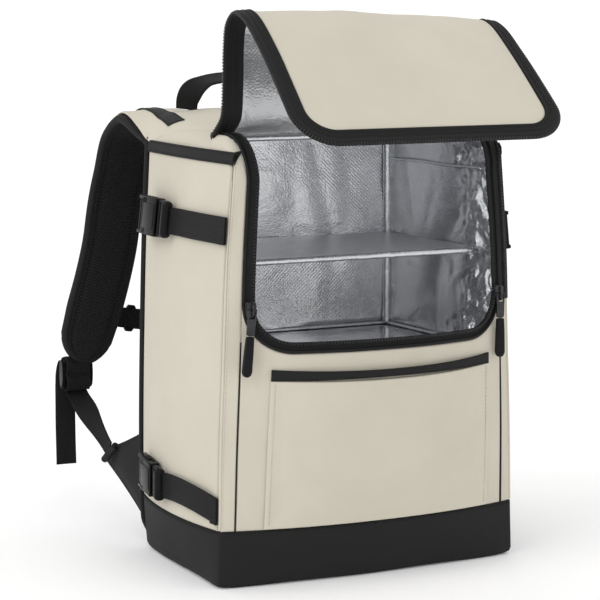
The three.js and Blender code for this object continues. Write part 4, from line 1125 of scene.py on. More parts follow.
for side, mirror in SIDES:
    cloth(f"foil_wall_{side}", foil_side, FOIL, "foil", 124, 120, relief=dented(60, 1.7, 101 + mirror, 4.0),
          roll=1.0, fade=10, mirror=mirror, stands_for=[f"lining_{side}"], rests_on=[f"lining_{side}"])
cloth("foil_wall_back", foil_back, FOIL, "foil", 100, 90, relief=dented(75, 2.0, 111), roll=1.0, fade=10,
      stands_for=["lining_back"], rests_on=["lining_back"])
cloth("foil_roof", foil_roof, FOIL, "foil", 80, 50, relief=dented(60, 0.8, 121), roll=1.0, fade=14,
      stands_for=["lining_top"], rests_on=["lining_top"])
# The floor's foil is painted lighter than the walls', as painted light.
cloth("foil_floor", foil_floor, 4.0, "floor foil", 70, 60, relief=dented(90, 0.3, 131), roll=1.5, fade=14,
      stands_for=["lining_floor"], rests_on=["lining_floor"])
print("foil walls, roof and floor made")

# %% [markdown]
# Where two sheets of foil meet, the seam is bound with a narrow foil roll: up the back corners, along the
# walls under the roof, round the floor, and along the lid's hinge. Each is a cord with a foil finish.

# %% Foil seams and shelf
SEAM_Z = 431.0
CORNER_ROLL = {"r": 4.8, "in": 2.8, "forward": 4.4, "top": 480.0}
WALL_ROLL = {"r": 1.9, "in": 2.4, "front": -92.0}
FLOOR_ROLL = {"r": 2.0, "in": 2.2}
HINGE_FOIL = {"r": 3.6, "half": 144.0, "forward": 4.6, "z": 469.4}
SHELF = {"z": 345.0, "depth": 6.0, "front": -89.0, "roll": 3.3, "clear": 1.2}


def foil_line(y, z, inset):
    return xyz(-(lining_x(y) - inset), y, z)


depths = np.linspace(WALL_ROLL["front"], LINING["back_y"] - 2, 90)
up = np.linspace(LINING["floor_z"] + 2, CORNER_ROLL["top"], 70)
floor_seam = LINING["floor_z"] + FLOOR_ROLL["in"]
corner_line = xyz(-LINING["back_x"] + CORNER_ROLL["in"], LINING["back_y"] - CORNER_ROLL["forward"], up)
for side, mirror in SIDES:
    rolls = [
        rod(corner_line, CORNER_ROLL["r"], 12),
        rod(foil_line(depths, SEAM_Z + 0.6 * np.sin(depths / 17), WALL_ROLL["in"]), WALL_ROLL["r"], 8),
        rod(foil_line(depths, floor_seam, FLOOR_ROLL["in"]), FLOOR_ROLL["r"], 8),
    ]
    make(f"foil_seams_{side}", *gather(*rolls), "foil", mirror=mirror)
across = np.linspace(-LINING["back_x"] + 2, LINING["back_x"] - 2, 90)
back_roll = rod(xyz(across, LINING["back_y"] - FLOOR_ROLL["in"], floor_seam), FLOOR_ROLL["r"], 8)
hinge_x = np.linspace(-HINGE_FOIL["half"], HINGE_FOIL["half"], 90)
hinge_line = xyz(hinge_x, HINGE_Y - HINGE_FOIL["forward"] + 0.5 * np.sin(hinge_x / 25), HINGE_FOIL["z"])
make("foil_seams_back", *gather(back_roll, rod(hinge_line, HINGE_FOIL["r"], 12)), "foil")


def shelf_top(u, v):
    y = lerp(SHELF["front"], LINING["back_y"] - GAP, v)
    return xyz((2 * u - 1) * (lining_x(y) - GAP - SHELF["clear"]), y, SHELF["z"])


# The shelf's foil is painted lighter than the walls', as painted light.
cloth("shelf_board", shelf_top, SHELF["depth"], "smooth foil", 90, 70, relief=dented(80, 0.5, 141), roll=2.5,
      stands_for=["shelf"], rests_on=["shelf"])
nose = np.linspace(-lining_x(SHELF["front"]) + 2, lining_x(SHELF["front"]) - 2, 90)
nose_line = xyz(nose, SHELF["front"] + 1, SHELF["z"] - SHELF["depth"] / 2)
make("shelf_nose", *rod(nose_line, SHELF["roll"], 14), "foil")
print("seams and shelf made")

# %% [markdown]
# ## Zip
# A coil zip runs down both sides of the opening and along its bottom: black tape, a piped outer edge and a
# spiral of nylon that shows as a row of small beads next to the foil. The tape is a sheet, the piping a
# cord, and the coil one joined mesh of small blocks, because an array of objects would be heavy. On the
# right the tape is turned outward, so a flap of it covers the gusset there and carries the coil.

# %% Zip tapes and binding
ZIP = {"width": 12.0, "end": HINGE_END - 12, "cord": 1.9, "pitch": 3.3, "cord_at": 0.1, "cord_lift": 0.4,
       "coil_at": 0.86, "coil_lift": 0.7, "sewn_at": 0.52}
TOOTH = chip(2.1, 3.6, 2.0)
FLAP = {"low": 288.0, "over": 0.8, "reach": 0.97, "lift": 1.8, "depth": 1.6, "coil_at": 0.5}


def zip_tape(u, v):
    way = lerp(OPEN_Z + OPEN_R + GAP, ZIP["end"], v)
    return wrap(-(zip_x(way) - lerp(GAP, ZIP["width"], u)), way)


def mouth_binding(u, v):
    x, z = opening_edge(u, lerp(2 * GAP, ZIP["width"], v))
    return wrap(x, z)


def tape_ridge(across):
    """A groove beside the piped edge and a low ridge under the coil."""
    return 0.9 * np.exp(-((across - 0.82) / 0.12) ** 2) - 0.7 * np.exp(-((across - 0.38) / 0.08) ** 2)


def zip_flap(u, v):
    """On the right the tape is turned outward and covers the gusset above the slider."""
    along = lerp((FLAP["low"] - BOOT_TOP) / (HINGE_END - BOOT_TOP), gusset_share(FLAP["over"]), v)
    return off_gusset(u * FLAP["reach"], along, FLAP["lift"])


def zip_cord(name, line, out, mirror=False):
    make(name, *rod(line + ZIP["cord_lift"] * out, ZIP["cord"], 10), "tape", mirror=mirror)


def zip_coil(name, line, out, mirror=False):
    make(name, *repeated(TOOTH, line + ZIP["coil_lift"] * out, out, ZIP["pitch"]), "coil", mirror=mirror)


cloth("zip_flap_right", zip_flap, FLAP["depth"], "tape", 24, 120, facing=-1, roll=1.0, fade=0.5, mirror=True,
      relief=lambda points, u, v: 0.9 * np.exp(-((u - 0.9) / 0.1) ** 2), rests_on=["front_gusset_right"])
for side, mirror in SIDES:
    cloth(f"zip_band_{side}", zip_tape, TAPE, "tape", 24, 130, roll=1.2, fade=0.5, mirror=mirror,
          relief=lambda points, u, v: tape_ridge(u),
          stands_for=[f"zip_tape_{side}"], rests_on=[f"zip_tape_{side}"])
    ways = np.linspace(0, 1, 260)
    zip_cord(f"zip_cord_{side}", *on(zip_tape, ZIP["cord_at"], ways), mirror)
    coil = on(zip_flap, FLAP["coil_at"], ways, -1) if mirror else on(zip_tape, ZIP["coil_at"], ways)
    zip_coil(f"zip_coil_{side}", *coil, mirror)
    stitch("black", zip_tape, ZIP["sewn_at"], ways, mirror=mirror)
cloth("mouth_band", mouth_binding, TAPE + 1, "tape", 150, 20, roll=1.4, fade=0.5,
      relief=lambda points, u, v: tape_ridge(v), stands_for=["opening_binding"], rests_on=["opening_binding"])
ways = np.linspace(0, 1, 320)
zip_cord("mouth_cord", *on(mouth_binding, ways, ZIP["cord_at"]))
zip_coil("mouth_coil", *on(mouth_binding, ways, ZIP["coil_at"]))
stitch("black", mouth_binding, ways, ZIP["sewn_at"])
print("zip made")

# %% [markdown]
# ## Front pocket
# A flat pocket covers most of the lower front. Its mouth is bound with black tape and hangs slightly
# open, and its sides and foot are caught in seams. It is a slack sheet over the front panel.

# %% Pocket
POCKET = {"share": 0.77, "shift": 3.0, "top": 233.6, "dip": 4.0, "band": 12.8, "gape": 3.0, "depth": 2.0,
          "foot": 2.2, "lap": 1.5, "band_out": 1.2, "band_gape": 0.6}


def pocket_at(low, high, depth, lift=0.0):
    def surface(u, v):
        share = 2 * u - 1
        z = lerp(low, high - POCKET["dip"] * (1 - share ** 2), v)
        x = POCKET["shift"] + share * POCKET["share"] * body("corner", z)
        gape = (POCKET["gape"] + lift) * (1 - share ** 4) * ease(z, BOOT_TOP, POCKET["top"])
        return xyz(x, front_y(x, z) - 2 * GAP - gape - depth, z)
    return surface


def pocket_slack(points, u, v):
    pull = np.exp(-((u - 0.03) / 0.05) ** 2) + np.exp(-((u - 0.97) / 0.05) ** 2)
    return 0.9 * waves(points * (1, 1, 0.6), 120, 51) + 0.35 * waves(points, 45, 52) - 0.8 * pull


split = POCKET["top"] - POCKET["band"]
pocket_face = pocket_at(BOOT_TOP + POCKET["foot"], split + POCKET["lap"], POCKET["depth"])
pocket_edge = pocket_at(split + GAP, POCKET["top"], POCKET["depth"] + POCKET["band_out"], POCKET["band_gape"])
cloth("pocket_cloth", pocket_face, POCKET["depth"], "cream", 100, 70, relief=pocket_slack, roll=1.6,
      held="hung", stands_for=["pocket_panel"], rests_on=["front_panel"])
cloth("pocket_tape", pocket_edge, POCKET["depth"] + 1, "black", 110, 12, roll=1.9,
      stands_for=["pocket_binding"], rests_on=["pocket_panel"])
stitch("black", pocket_edge, np.linspace(0.005, 0.995, 260), 0.16)
for share in (0.018, 0.982):
    stitch("cream", pocket_face, share, np.linspace(0.02, 0.98, SEAM_STEPS))
print("pocket made")

# %% [markdown]
# ## Lid
# The lid is hinged along the top, stands up, folds over and hangs forward. Cream cloth covers its
# outside, foil its inside, and a wide black band with the other half of the zip runs round three edges,
# with a facing of the same tape on the foil side. All follow one profile line swept across the bag, so
# they stay together over the fold.

# %% Lid sheets
LID_ROWS = (
    # y, z
    (-40.4, 475.4), (-56, 497), (-62, 525), (-63, 560), (-68, 584), (-87, 598),
    (-109, 594), (-150, 566), (-200, 524), (-251, 478),
)
LID = {"half": 156.5, "hinge": 0.98, "hinge_run": 60.0, "shift": 1.5, "band": 18.0, "facing": 22.5,
       "facing_depth": 1.4, "corner": 45.0, "shell": 4.0, "tilt": 7.5, "crown": 4.0, "flare": 0.036,
       "flare_run": 26.0, "tuck": 1.6, "side_lap": 1.2, "end_lap": 1.0, "cloth_sunk": 0.6, "cloth_depth": 2.4}
LID_COIL = {"sunk": 2.9, "in": 0.5}
LID_TOOTH = chip(2.1, 4.4, 1.6)
lid_path = Path([(0, y, z) for y, z in LID_ROWS])


def lid_point(x, way, sink):
    """Point of the lid at x and a way from the hinge, sunk below its outer face."""
    t = np.clip(way / lid_path.length, 0, 1)
    heading = lid_path.heading(t)
    out = xyz(0, heading[..., 2], -heading[..., 1])
    loose = np.sin(np.pi * t) ** 2
    crown = LID["crown"] * loose * (1 - (x / LID["half"]) ** 2)
    drawn = lerp(LID["hinge"], 1, ease(way, 0, LID["hinge_run"]))
    base = 1 - ease(way, 0, LID["flare_run"])
    spread_out = x * (drawn + LID["flare"] * base) + LID["shift"] * loose
    tuck = LID["tuck"] * base * ease(np.abs(x) / LID["half"], 0.86, 1)
    moved = xyz(spread_out, 0, -LID["tilt"] * loose * x / LID["half"] - tuck)
    return lid_path.at(t) + out * (crown - sink)[..., None] + moved


def lid_sheet(sink):
    half = LID["half"] - LID["band"] + LID["side_lap"]
    end = lid_path.length - LID["band"] + LID["end_lap"]
    round_by = LID["corner"] - LID["band"]

    def surface(u, v):
        way = end * v
        beyond = np.maximum(way - (end - round_by), 0)
        pulled = round_by - np.sqrt(np.maximum(round_by ** 2 - beyond ** 2, 0))
        return lid_point((2 * u - 1) * (half - pulled), way, sink)
    return surface


def lid_border(width, sink):
    """The edge of the lid from hinge to hinge, as wide as asked and sunk under its outer face."""
    straight = lid_path.length - LID["corner"]
    arc = LID["corner"] * math.pi / 2
    flat = LID["half"] - LID["corner"]
    whole = straight + arc + flat

    def surface(u, v):
        way = lerp(-whole, whole, v)
        from_hinge = whole - np.abs(way)
        turn = np.clip((from_hinge - straight) / LID["corner"], 0, np.pi / 2)
        r = LID["corner"] - width * u
        x = flat + r * np.cos(turn) - np.maximum(from_hinge - straight - arc, 0)
        return lid_point(np.where(way < 0, -x, x), np.minimum(from_hinge, straight) + r * np.sin(turn), sink)
    return surface


def lid_slack(points, u, v):
    return 1.0 * waves(points, 140, 61) + 0.35 * waves(points, 55, 62)


lid_dents = dented(60, 0.8, 151)


def lid_foil_slack(points, u, v):
    """The foil follows the cloth that it hangs under, and its dents stay clear of it."""
    return lid_slack(points, u, v) + np.minimum(lid_dents(points, u, v), 0.8)


def band_ridges(points, u, v):
    """Two sewn grooves, and a roll along the inner edge."""
    return (0.9 * np.exp(-((u - 0.9) / 0.08) ** 2) - 1.0 * np.exp(-((u - 0.66) / 0.06) ** 2)
            - 0.8 * np.exp(-((u - 0.34) / 0.06) ** 2))


cloth("lid_cloth", lid_sheet(LID["cloth_sunk"]), LID["cloth_depth"], "cream", 70, 110, facing=-1,
      relief=lid_slack, roll=3.0, held="folded", stands_for=["lid_outer"], rests_on=["lid_outer"])
# The lid's foil is painted darker than the walls', as painted shade.
cloth("lid_foil", lid_sheet(LID["shell"] + GAP), FOIL, "lid foil", 84, 120, facing=-1,
      relief=lid_foil_slack, roll=1.0, held="folded", stands_for=["lid_lining"], rests_on=["lid_lining"])
lid_band = lid_border(LID["band"], 0.0)
lid_facing = lid_border(LID["facing"], LID["shell"] + FOIL + 2 * GAP)
cloth("lid_trim", lid_band, LID["shell"] + FOIL + GAP, "tape", 20, 270, facing=-1, relief=band_ridges,
      roll=2.6, fade=0.5, held="folded", stands_for=["lid_binding"], rests_on=["lid_binding"])
cloth("lid_facing", lid_facing, LID["facing_depth"], "tape", 16, 240, relief=band_ridges, roll=0.9, fade=0.5,
      held="folded", rests_on=["lid_lining"])
ways = np.linspace(0, 1, 500)
line, out = on(lid_band, 0.0, ways, facing=-1)
aside = unit(line - lid_band(0.2 + 0 * ways, ways))
rim = line - LID_COIL["sunk"] * out - LID_COIL["in"] * aside
make("lid_coil", *repeated(LID_TOOTH, rim, aside, ZIP["pitch"]), "coil")
for share in (0.5, 0.8):
    stitch("black", lid_band, share, ways, -1)
print("lid is", round(lid_path.length), "mm from hinge to lip")

# %% [markdown]
# ## Sliders and pulls
# Two metal sliders rest on the sides of the opening. On each, a bail holds a metal tab that swings freely,
# with a rubber grip moulded over its end. The slider belongs to the bag; tab and grip ride on the
# hinged body, so that they swing with it.

# %% Sliders and pulls
HINGE = {"x": 149.858, "y": -121.18, "z": 297.0}
SLIDER_SEAT = 6.6
LEFT_LEAN = math.radians(6)


def slider():
    """Body with its waist, a raised spine, and a round wire bail; y is outward, z along the zip."""
    shield = [(-3.4, -8.5), (3.4, -8.5), (5.0, -4.0), (5.5, 2.0), (5.5, 7.0), (4.2, 8.5), (-4.2, 8.5),
              (-5.5, 7.0), (-5.5, 2.0), (-5.0, -4.0)]
    smaller = [(x * 0.96, z * 0.97) for x, z in shield]
    spine = block((-1.6, -6.5, 1.5), (1.6, 6.5, 5.4), 0.6)
    bend = np.linspace(0, np.pi, 24)
    bail = rod(xyz(0 * bend, -6.3 * np.cos(bend), 4.6 + 4.6 * np.sin(bend) ** 0.7), 1.25, 10)
    return gather(plate(shield, 0, 2.0, 0.7), plate(smaller, 3.0, 5.0, 0.8), spine, bail)


def pull_tab():
    bar = rod(xyz(np.linspace(-4.7, 4.7, 12), 0, 0), 1.1, 12)
    arms = [block((x0, -9.6, -1), (x1, 0.9, 1), 0.45) for x0, x1 in ((-5, -3.3), (3.3, 5))]
    turn = np.linspace(0, np.pi, 9)
    foot = [(4.6 * math.cos(a), -25.0 - 2.0 * math.sin(a)) for a in turn[::-1]]
    body_plate = plate([*foot, (5.0, -9), (-5.0, -9)], -1, 1, 0.45)
    return gather(bar, *arms, body_plate)


def pull_grip():
    turn = np.linspace(0, np.pi, 15)
    foot = [(5.0 * math.cos(a), -65.0 - 5.0 * math.sin(a)) for a in turn[::-1]]
    outline = [*foot, (4.5, -44), (4.3, -29.5), (3.6, -27.4), (-3.6, -27.4), (-4.3, -29.5), (-4.5, -44)]
    ribs = [block((-3.3, z - 0.7, -2.75), (3.3, z + 0.7, 2.75), 0.5) for z in (-36, -39.5, -43, -46.5, -50)]
    return gather(plate(outline, -2.4, 2.4, 1.1, 3), *ribs)


UPRIGHT = Matrix(((1, 0, 0, 0), (0, 0, -1, 0), (0, 1, 0, 0), (0, 0, 0, 1)))
for side, mirror in SIDES:
    x = HINGE["x"] if mirror else -HINGE["x"]
    seat = Matrix.Translation((x, HINGE["y"] + SLIDER_SEAT, HINGE["z"])) @ UPRIGHT
    make(f"slider_{side}", *placed(slider(), seat), "metal", sharp=40, stands_for=[f"zip_slider_{side}"])
    lean = Matrix.Rotation(0 if mirror else LEFT_LEAN, 4, "Y")
    hung = Matrix.Translation((x, HINGE["y"], HINGE["z"])) @ lean @ UPRIGHT
    make(f"pull_tab_{side}", *placed(pull_tab(), hung), "metal", body_name=f"pull_{side}", sharp=40,
         stands_for=[f"zip_pull_{side}"])
    make(f"pull_grip_{side}", *placed(pull_grip(), hung), "rubber", body_name=f"pull_{side}", sharp=50,
         stands_for=[f"zip_grip_{side}"])
print("sliders and pulls made")

# %% [markdown]
# ## Side straps
# Two compression straps cross each side: flat webbing sewn into a seam, and a release buckle. The
# buckle's plug has a round bar that the webbing turns over; its socket is a satin box with side windows
# and a ladder of bars at its far end. Hard parts are built from rounded blocks on the strap's own axes.
# The lower buckles are a size smaller, and the upper left one tilts off the side at its free end.

# %% Side strap webbing
SIDE_STRAPS = (
    # name, on the right, height at the front, height at the back, buckle's front, points back, bow, sewn at
    ("upper_left", False, 378.0, 379.6, 18.0, 1, 0.0, 1.0),
    ("lower_left", False, 83.0, 99.0, 12.0, 1, 4.0, 1.0),
    ("upper_right", True, 361.0, 361.0, -16.0, -1, 0.0, 0.0),
    ("lower_right", True, 84.0, 94.0, 12.0, 1, 3.0, 17.0),
)
SIDE_WEB = {"width": 29.0, "hem": 11.0, "pressed": 1.0, "lift": 0.8, "hem_lift": 0.6, "hem_thin": 0.4,
            "rise": 3.0, "rise_run": 26.0, "into_buckle": 6.0}
BUCKLE = {"length": 72.0, "half": 21.0}
LOWER_BUCKLE = 0.9
BUCKLE_TILT = math.radians(4.5)


def strap_height(front_z, back_z):
    return lambda y: lerp(front_z, back_z, (y - CORNER_Y - GAP) / (BACK_Y - CORNER_Y - GAP))


def web_on_side(height, start_y, end_y, lift, rise=0.0, bow=0.0):
    """Webbing over the swollen side, bowed up a little and lifted to the buckle's bar at its end."""
    def surface(u, v):
        y = lerp(start_y, end_y, v)
        z = height(y) + bow * np.sin(np.pi * v) + (0.5 - u) * SIDE_WEB["width"]
        off = lift + rise * (1 - ease(np.abs(y - end_y), 0, SIDE_WEB["rise_run"]))
        return xyz(-(side_x(y, z) - SIDE_WEB["pressed"] + off), y, z)
    return surface


for name, mirror, front_z, back_z, buckle_y, to_back, bow, sewn in SIDE_STRAPS:
    height = strap_height(front_z, back_z)
    seam_y = CORNER_Y + sewn if to_back > 0 else BACK_Y - sewn
    end_y = buckle_y + SIDE_WEB["into_buckle"] * to_back
    face = web_on_side(height, seam_y, end_y, TAPE + SIDE_WEB["lift"], SIDE_WEB["rise"], bow)
    cloth(f"side_webbing_{name}", face, TAPE, "webbing", 12, 90, facing=to_back, roll=0.9, mirror=mirror,
          stands_for=[f"side_web_{name}"], rests_on=[f"side_web_{name}"])
    hem = web_on_side(height, seam_y, seam_y + SIDE_WEB["hem"] * to_back, 2 * TAPE + SIDE_WEB["hem_lift"])
    cloth(f"side_hem_{name}", hem, TAPE - SIDE_WEB["hem_thin"], "webbing", 12, 14, facing=to_back, roll=0.8,
          mirror=mirror, rests_on=[f"side_web_{name}"])
    for share in (0.3, 0.75):
        stitch("black", hem, np.linspace(0.06, 0.94, 40), share, to_back, mirror)
print("side webbing made")

# %% Release buckles
TILT = np.eye(4)
TILT[0, 0] = TILT[2, 2] = math.cos(BUCKLE_TILT)
TILT[2, 0] = math.sin(BUCKLE_TILT)
TILT[0, 2] = -math.sin(BUCKLE_TILT)


def buckle_plug():
    """x runs from the webbing's bar to the prongs, y across the strap and z away from the side."""
    parts = [
        block((0, -20, 0.2), (11.5, 20, 12.4), 5.2, 5),
        block((17.5, -20, 2.6), (23, 20, 9.4), 1.6, 3),
        block((21, -4, 4), (44, 4, 8), 1.4),
    ]
    for sign in (-1, 1):
        low, high = sorted((sign * 16.4, sign * 20))
        parts.append(block((4, low, 2.8), (23, high, 9.2), 1.4))
        tip = [(22, 13), (46, 13), (50, 15.4), (47, 18.4), (40, 19.6), (32, 18.2), (22, 18.2)]
        parts.append(plate([(x, sign * y) for x, y in (tip if sign > 0 else tip[::-1])], 3.4, 8.6, 0.8))
    return gather(*parts)


def buckle_socket():
    parts = [
        block((23.6, -21, 9.0), (60, 21, 12), 1.3, 3),
        block((23.6, -21, 0.2), (60, 21, 3.0), 1.3, 3),
        block((46, -21, 0.2), (60.5, 21, 12), 1.6, 3),
        block((26.5, -14, 11.4), (55, 14, 12.7), 0.9, 3),
        block((66.5, -21, 1.6), (72, 21, 9.2), 2.2, 4),
        block((60.8, -17, 2.0), (63.4, 17, 5.2), 1.0, 2),
    ]
    for sign in (-1, 1):
        low, high = sorted((sign * 16.6, sign * 21))
        parts.append(block((23.6, low, 0.6), (30.5, high, 11.6), 1.3, 3))
        parts.append(block((44.5, low, 0.6), (72, high, 10.6), 1.3, 3))
    return gather(*parts)


def buckle_place(height, buckle_y, to_back):
    """The buckle's axes on the swollen left side: along the strap, across it, and away from the bag."""
    def spot(y, rise):
        z = height(y) + rise
        return np.array([-float(side_x(y, z)), y, z])

    far = buckle_y + to_back * BUCKLE["length"]
    along = unit(spot(far, 0) - spot(buckle_y, 0))
    middle = (buckle_y + far) / 2
    upright = (spot(middle, BUCKLE["half"]) - spot(middle, -BUCKLE["half"])) * -to_back
    outward = unit(np.cross(along, upright))
    seat = spot(buckle_y, 0)
    stations = [(y, rise * BUCKLE["half"]) for y in np.linspace(buckle_y, far, 5) for rise in (-1, 0, 1)]
    swell = max((spot(*station) - seat) @ outward for station in stations)
    place = np.eye(4)
    place[:3, :3] = np.stack([along, np.cross(outward, along), outward], axis=1)
    place[:3, 3] = seat + outward * (swell + GAP)
    return place


for name, mirror, front_z, back_z, buckle_y, to_back, _, _ in SIDE_STRAPS:
    place = buckle_place(strap_height(front_z, back_z), buckle_y, to_back)
    if name.startswith("lower"):
        place = place @ np.diag([1.0, LOWER_BUCKLE, 1.0, 1.0])
    if name == "upper_left":
        place = place @ TILT
    make(f"buckle_plug_{name}", *placed(buckle_plug(), place), "plastic", mirror=mirror, sharp=45,
         stands_for=[f"side_plug_{name}"])
    make(f"buckle_socket_{name}", *placed(buckle_socket(), place), "plastic", mirror=mirror, sharp=45,
         stands_for=[f"side_socket_{name}"])
print("four buckles made")

# %% [markdown]
# ## Shoulder straps
# Each strap is curved foam: air mesh on the wearer's side, cream cloth outside and a rolled binding along
# both edges. It leaves the top of the back, arches over and hangs free. A cream yoke carries the top's cloth
# over onto the strap, with a black strip sewn on it. The foam is lofted along one spline with a rounded
# section, so its edges swell as a stuffed strap's do.

# %% Shoulder strap foam
STRAP_ROWS = (
    # x, y, z, half width
    (-134, 116.4, 483, 30), (-135, 150, 487, 30), (-136, 195, 483, 30), (-138, 232, 459, 30),
    (-141, 250, 415, 30), (-147, 256, 375, 30), (-153, 259, 328, 30), (-163, 259, 287, 30),
    (-175, 258, 249, 30), (-184, 258, 220, 28), (-189, 258, 203, 20), (-191, 258, 197, 14),
)
STRAP = {"depth": 12.0, "root_depth": 4.0, "root_end": 0.16, "droop": 24.0, "droop_from": 0.02,
         "droop_to": 0.2, "cover": 2.0, "end_from": 0.9, "end_run": 0.103, "end_half": 26.0}
BINDING = {"root_r": 2.4, "r": 5.1, "swell_end": 0.2, "thin": 0.4, "thin_end": 0.025, "inset": 0.6,
           "sunk": 5.0, "sunk_end": 0.03}
YOKE = {"front": 70.0, "back": 172.0, "inner": 105.5, "outer": (157.5, 163.5), "spread_end": 0.45,
        "meet": (98.0, 140.0), "lift": (-1.6, 1.1), "lift_end": 0.28, "depth": 1.2}
STRIP = {
    # way to the back, and the strip's middle there
    "y": (60, 77, 116, 150, 195),
    "x": (-148, -146, -141, -138, -136),
    "start": (86.0, 70.0), "width": 16.0, "lift": 2.4, "depth": 1.5,
}
strap_places = np.array([row[:3] for row in STRAP_ROWS])
strap_path = Path(strap_places)
row_way = np.concatenate([[0], np.cumsum(np.linalg.norm(np.diff(strap_places, axis=0), axis=1))])


def strap_point(t, wide, half, deep):
    """Point of the strap at a share of its length, of its half width, and a depth under its outer face."""
    heading = strap_path.heading(t)
    out = unit(xyz(0, -heading[..., 2], heading[..., 1]))
    across = unit(np.cross(heading, out))
    root = 1 - ease(t, STRAP["droop_from"], STRAP["droop_to"])
    droop = STRAP["droop"] * (np.maximum(-wide * half, 0) / STRAP_ROWS[0][3]) ** 2
    return strap_path.at(t) + across * (wide * half)[..., None] - out * (deep + root * droop)[..., None]


def strap_half(t):
    """Half width, drawn in to a round end."""
    table = np.interp(t * strap_path.length, row_way, [row[3] for row in STRAP_ROWS])
    to_end = np.clip((t - STRAP["end_from"]) / STRAP["end_run"], 0, 1)
    return np.minimum(np.maximum(table, STRAP["end_half"]), STRAP_ROWS[0][3] * np.sqrt(1 - to_end ** 2))


def strap_depth(t):
    return lerp(STRAP["root_depth"], STRAP["depth"], ease(t, 0, STRAP["root_end"]))


def strap_foam(rings, around):
    """A loft of rounded sections, with a raised roll inside each edge on the wearer's side."""
    t, turn = np.meshgrid(np.linspace(0, 1, rings), np.arange(around) / around * 2 * np.pi, indexing="ij")
    wide = np.sign(np.cos(turn)) * np.abs(np.cos(turn)) ** 0.42
    deep = 0.5 - 0.5 * np.sign(np.sin(turn)) * np.abs(np.sin(turn)) ** 0.42
    edge = ease(deep, 0.6, 1.0) * 1.5 * np.exp(-((np.abs(wide) - 0.74) / 0.07) ** 2)
    points = strap_point(t, wide * 0.985, strap_half(t), deep * strap_depth(t) - edge)
    ids = np.arange(rings * around).reshape(rings, around)
    after = np.roll(ids, -1, axis=1)
    quads = np.stack([ids[:-1], ids[1:], after[1:], after[:-1]], axis=-1).reshape(-1, 4)
    way = np.stack([wide * strap_half(t), t * strap_path.length], axis=-1).reshape(-1, 2)
    return points.reshape(-1, 3), [*quads.tolist(), ids[0].tolist(), ids[-1][::-1].tolist()], way


def strap_sheet(lift, last, half_of):
    def surface(u, v):
        t = v * last
        return strap_point(t, 2 * u - 1, half_of(t), 0 * t - lift)
    return surface


def strap_binding():
    """The rolled edge, down one side and up the other, thin and sunk where it leaves the top."""
    ways = np.concatenate([np.linspace(0, 0.9, 150), np.linspace(0.9, 1, 60)[1:]])
    swell = lerp(BINDING["root_r"], BINDING["r"], ease(ways, 0, BINDING["swell_end"]))
    swell = swell * lerp(BINDING["thin"], 1, ease(ways, 0, BINDING["thin_end"]))
    sunk = xyz(0, 0, BINDING["sunk"] * (1 - ease(ways, 0, BINDING["sunk_end"])))
    half = strap_half(ways) - BINDING["inset"]
    down, up = [strap_point(ways, wide + 0 * ways, half, strap_depth(ways) / 2) - sunk for wide in (-1, 1)]
    return rod(np.vstack([down, up[::-1]]), np.concatenate([swell, swell[::-1]]), 12)


foam_points, foam_faces, foam_cut = strap_foam(190, 56)
cover = strap_sheet(GAP + STRAP["cover"], 0.965, lambda t: strap_half(t) * 0.93)
root_ways = np.linspace(0, 0.2, 60)


def yoke_z(x, y, lift):
    """Height of the cloth where the top runs over into the strap."""
    t = np.interp(y, strap_path.at(root_ways)[:, 1], root_ways)
    half = STRAP_ROWS[0][3] + 0 * t
    wide = (x - strap_path.at(t)[..., 0]) / half
    on_strap = strap_point(t, wide, half, 0 * t - STRAP["cover"] - lift)[..., 2]
    on_top = top_z(x, np.minimum(y, BACK_Y)) + lift
    return lerp(on_top, on_strap, ease(y, *YOKE["meet"]))


def yoke(u, v):
    y = lerp(YOKE["front"], YOKE["back"], v)
    x = -lerp(lerp(*YOKE["outer"], ease(v, 0, YOKE["spread_end"])), YOKE["inner"], u)
    return xyz(x, y, yoke_z(x, y, lerp(*YOKE["lift"], ease(v, 0, YOKE["lift_end"]))))


def strip(u, v):
    y = lerp(lerp(*STRIP["start"], u), STRIP["y"][-1], v)
    x = through(STRIP["y"], STRIP["x"], y) + (u - 0.5) * STRIP["width"]
    return xyz(x, y, yoke_z(x, y, STRIP["lift"]))


for side, mirror in SIDES:
    foam = make(f"strap_foam_{side}", foam_points, foam_faces, "mesh", cut=foam_cut, mirror=mirror,
                stands_for=[f"strap_pad_{side}"])
    cloth(f"strap_cloth_{side}", cover, STRAP["cover"], "cream", 36, 130, roll=1.5, mirror=mirror,
          stands_for=[f"strap_cover_{side}"], rests_on=[f"strap_pad_{side}"])
    cloth(f"strap_yoke_{side}", yoke, YOKE["depth"], "cream", 40, 50, roll=1.6, mirror=mirror,
          rests_on=["top_panel", f"strap_pad_{side}"])
    cloth(f"strap_tape_{side}", strip, STRIP["depth"], "tape", 14, 70, roll=0.7, mirror=mirror,
          stands_for=[f"strap_strip_{side}"], rests_on=[f"strap_cover_{side}"])
    make(f"strap_binding_{side}", *strap_binding(), "black", mirror=mirror)
    for share in (0.07, 0.93):
        stitch("cream", cover, share, np.linspace(0.02, 0.98, 260), mirror=mirror)
    for share in (0.1, 0.9):
        stitch("black", strip, share, np.linspace(0.02, 0.98, 60), mirror=mirror)
print("shoulder straps made,", len(foam_faces), "faces each")

# %% [markdown]
# The strap's lower end carries a ladder lock: two lens-shaped cheeks with bars between them. Webbing comes
# up from a sewn wing at the bag's foot, folds over the bars and hangs as a loose tail with a hem.

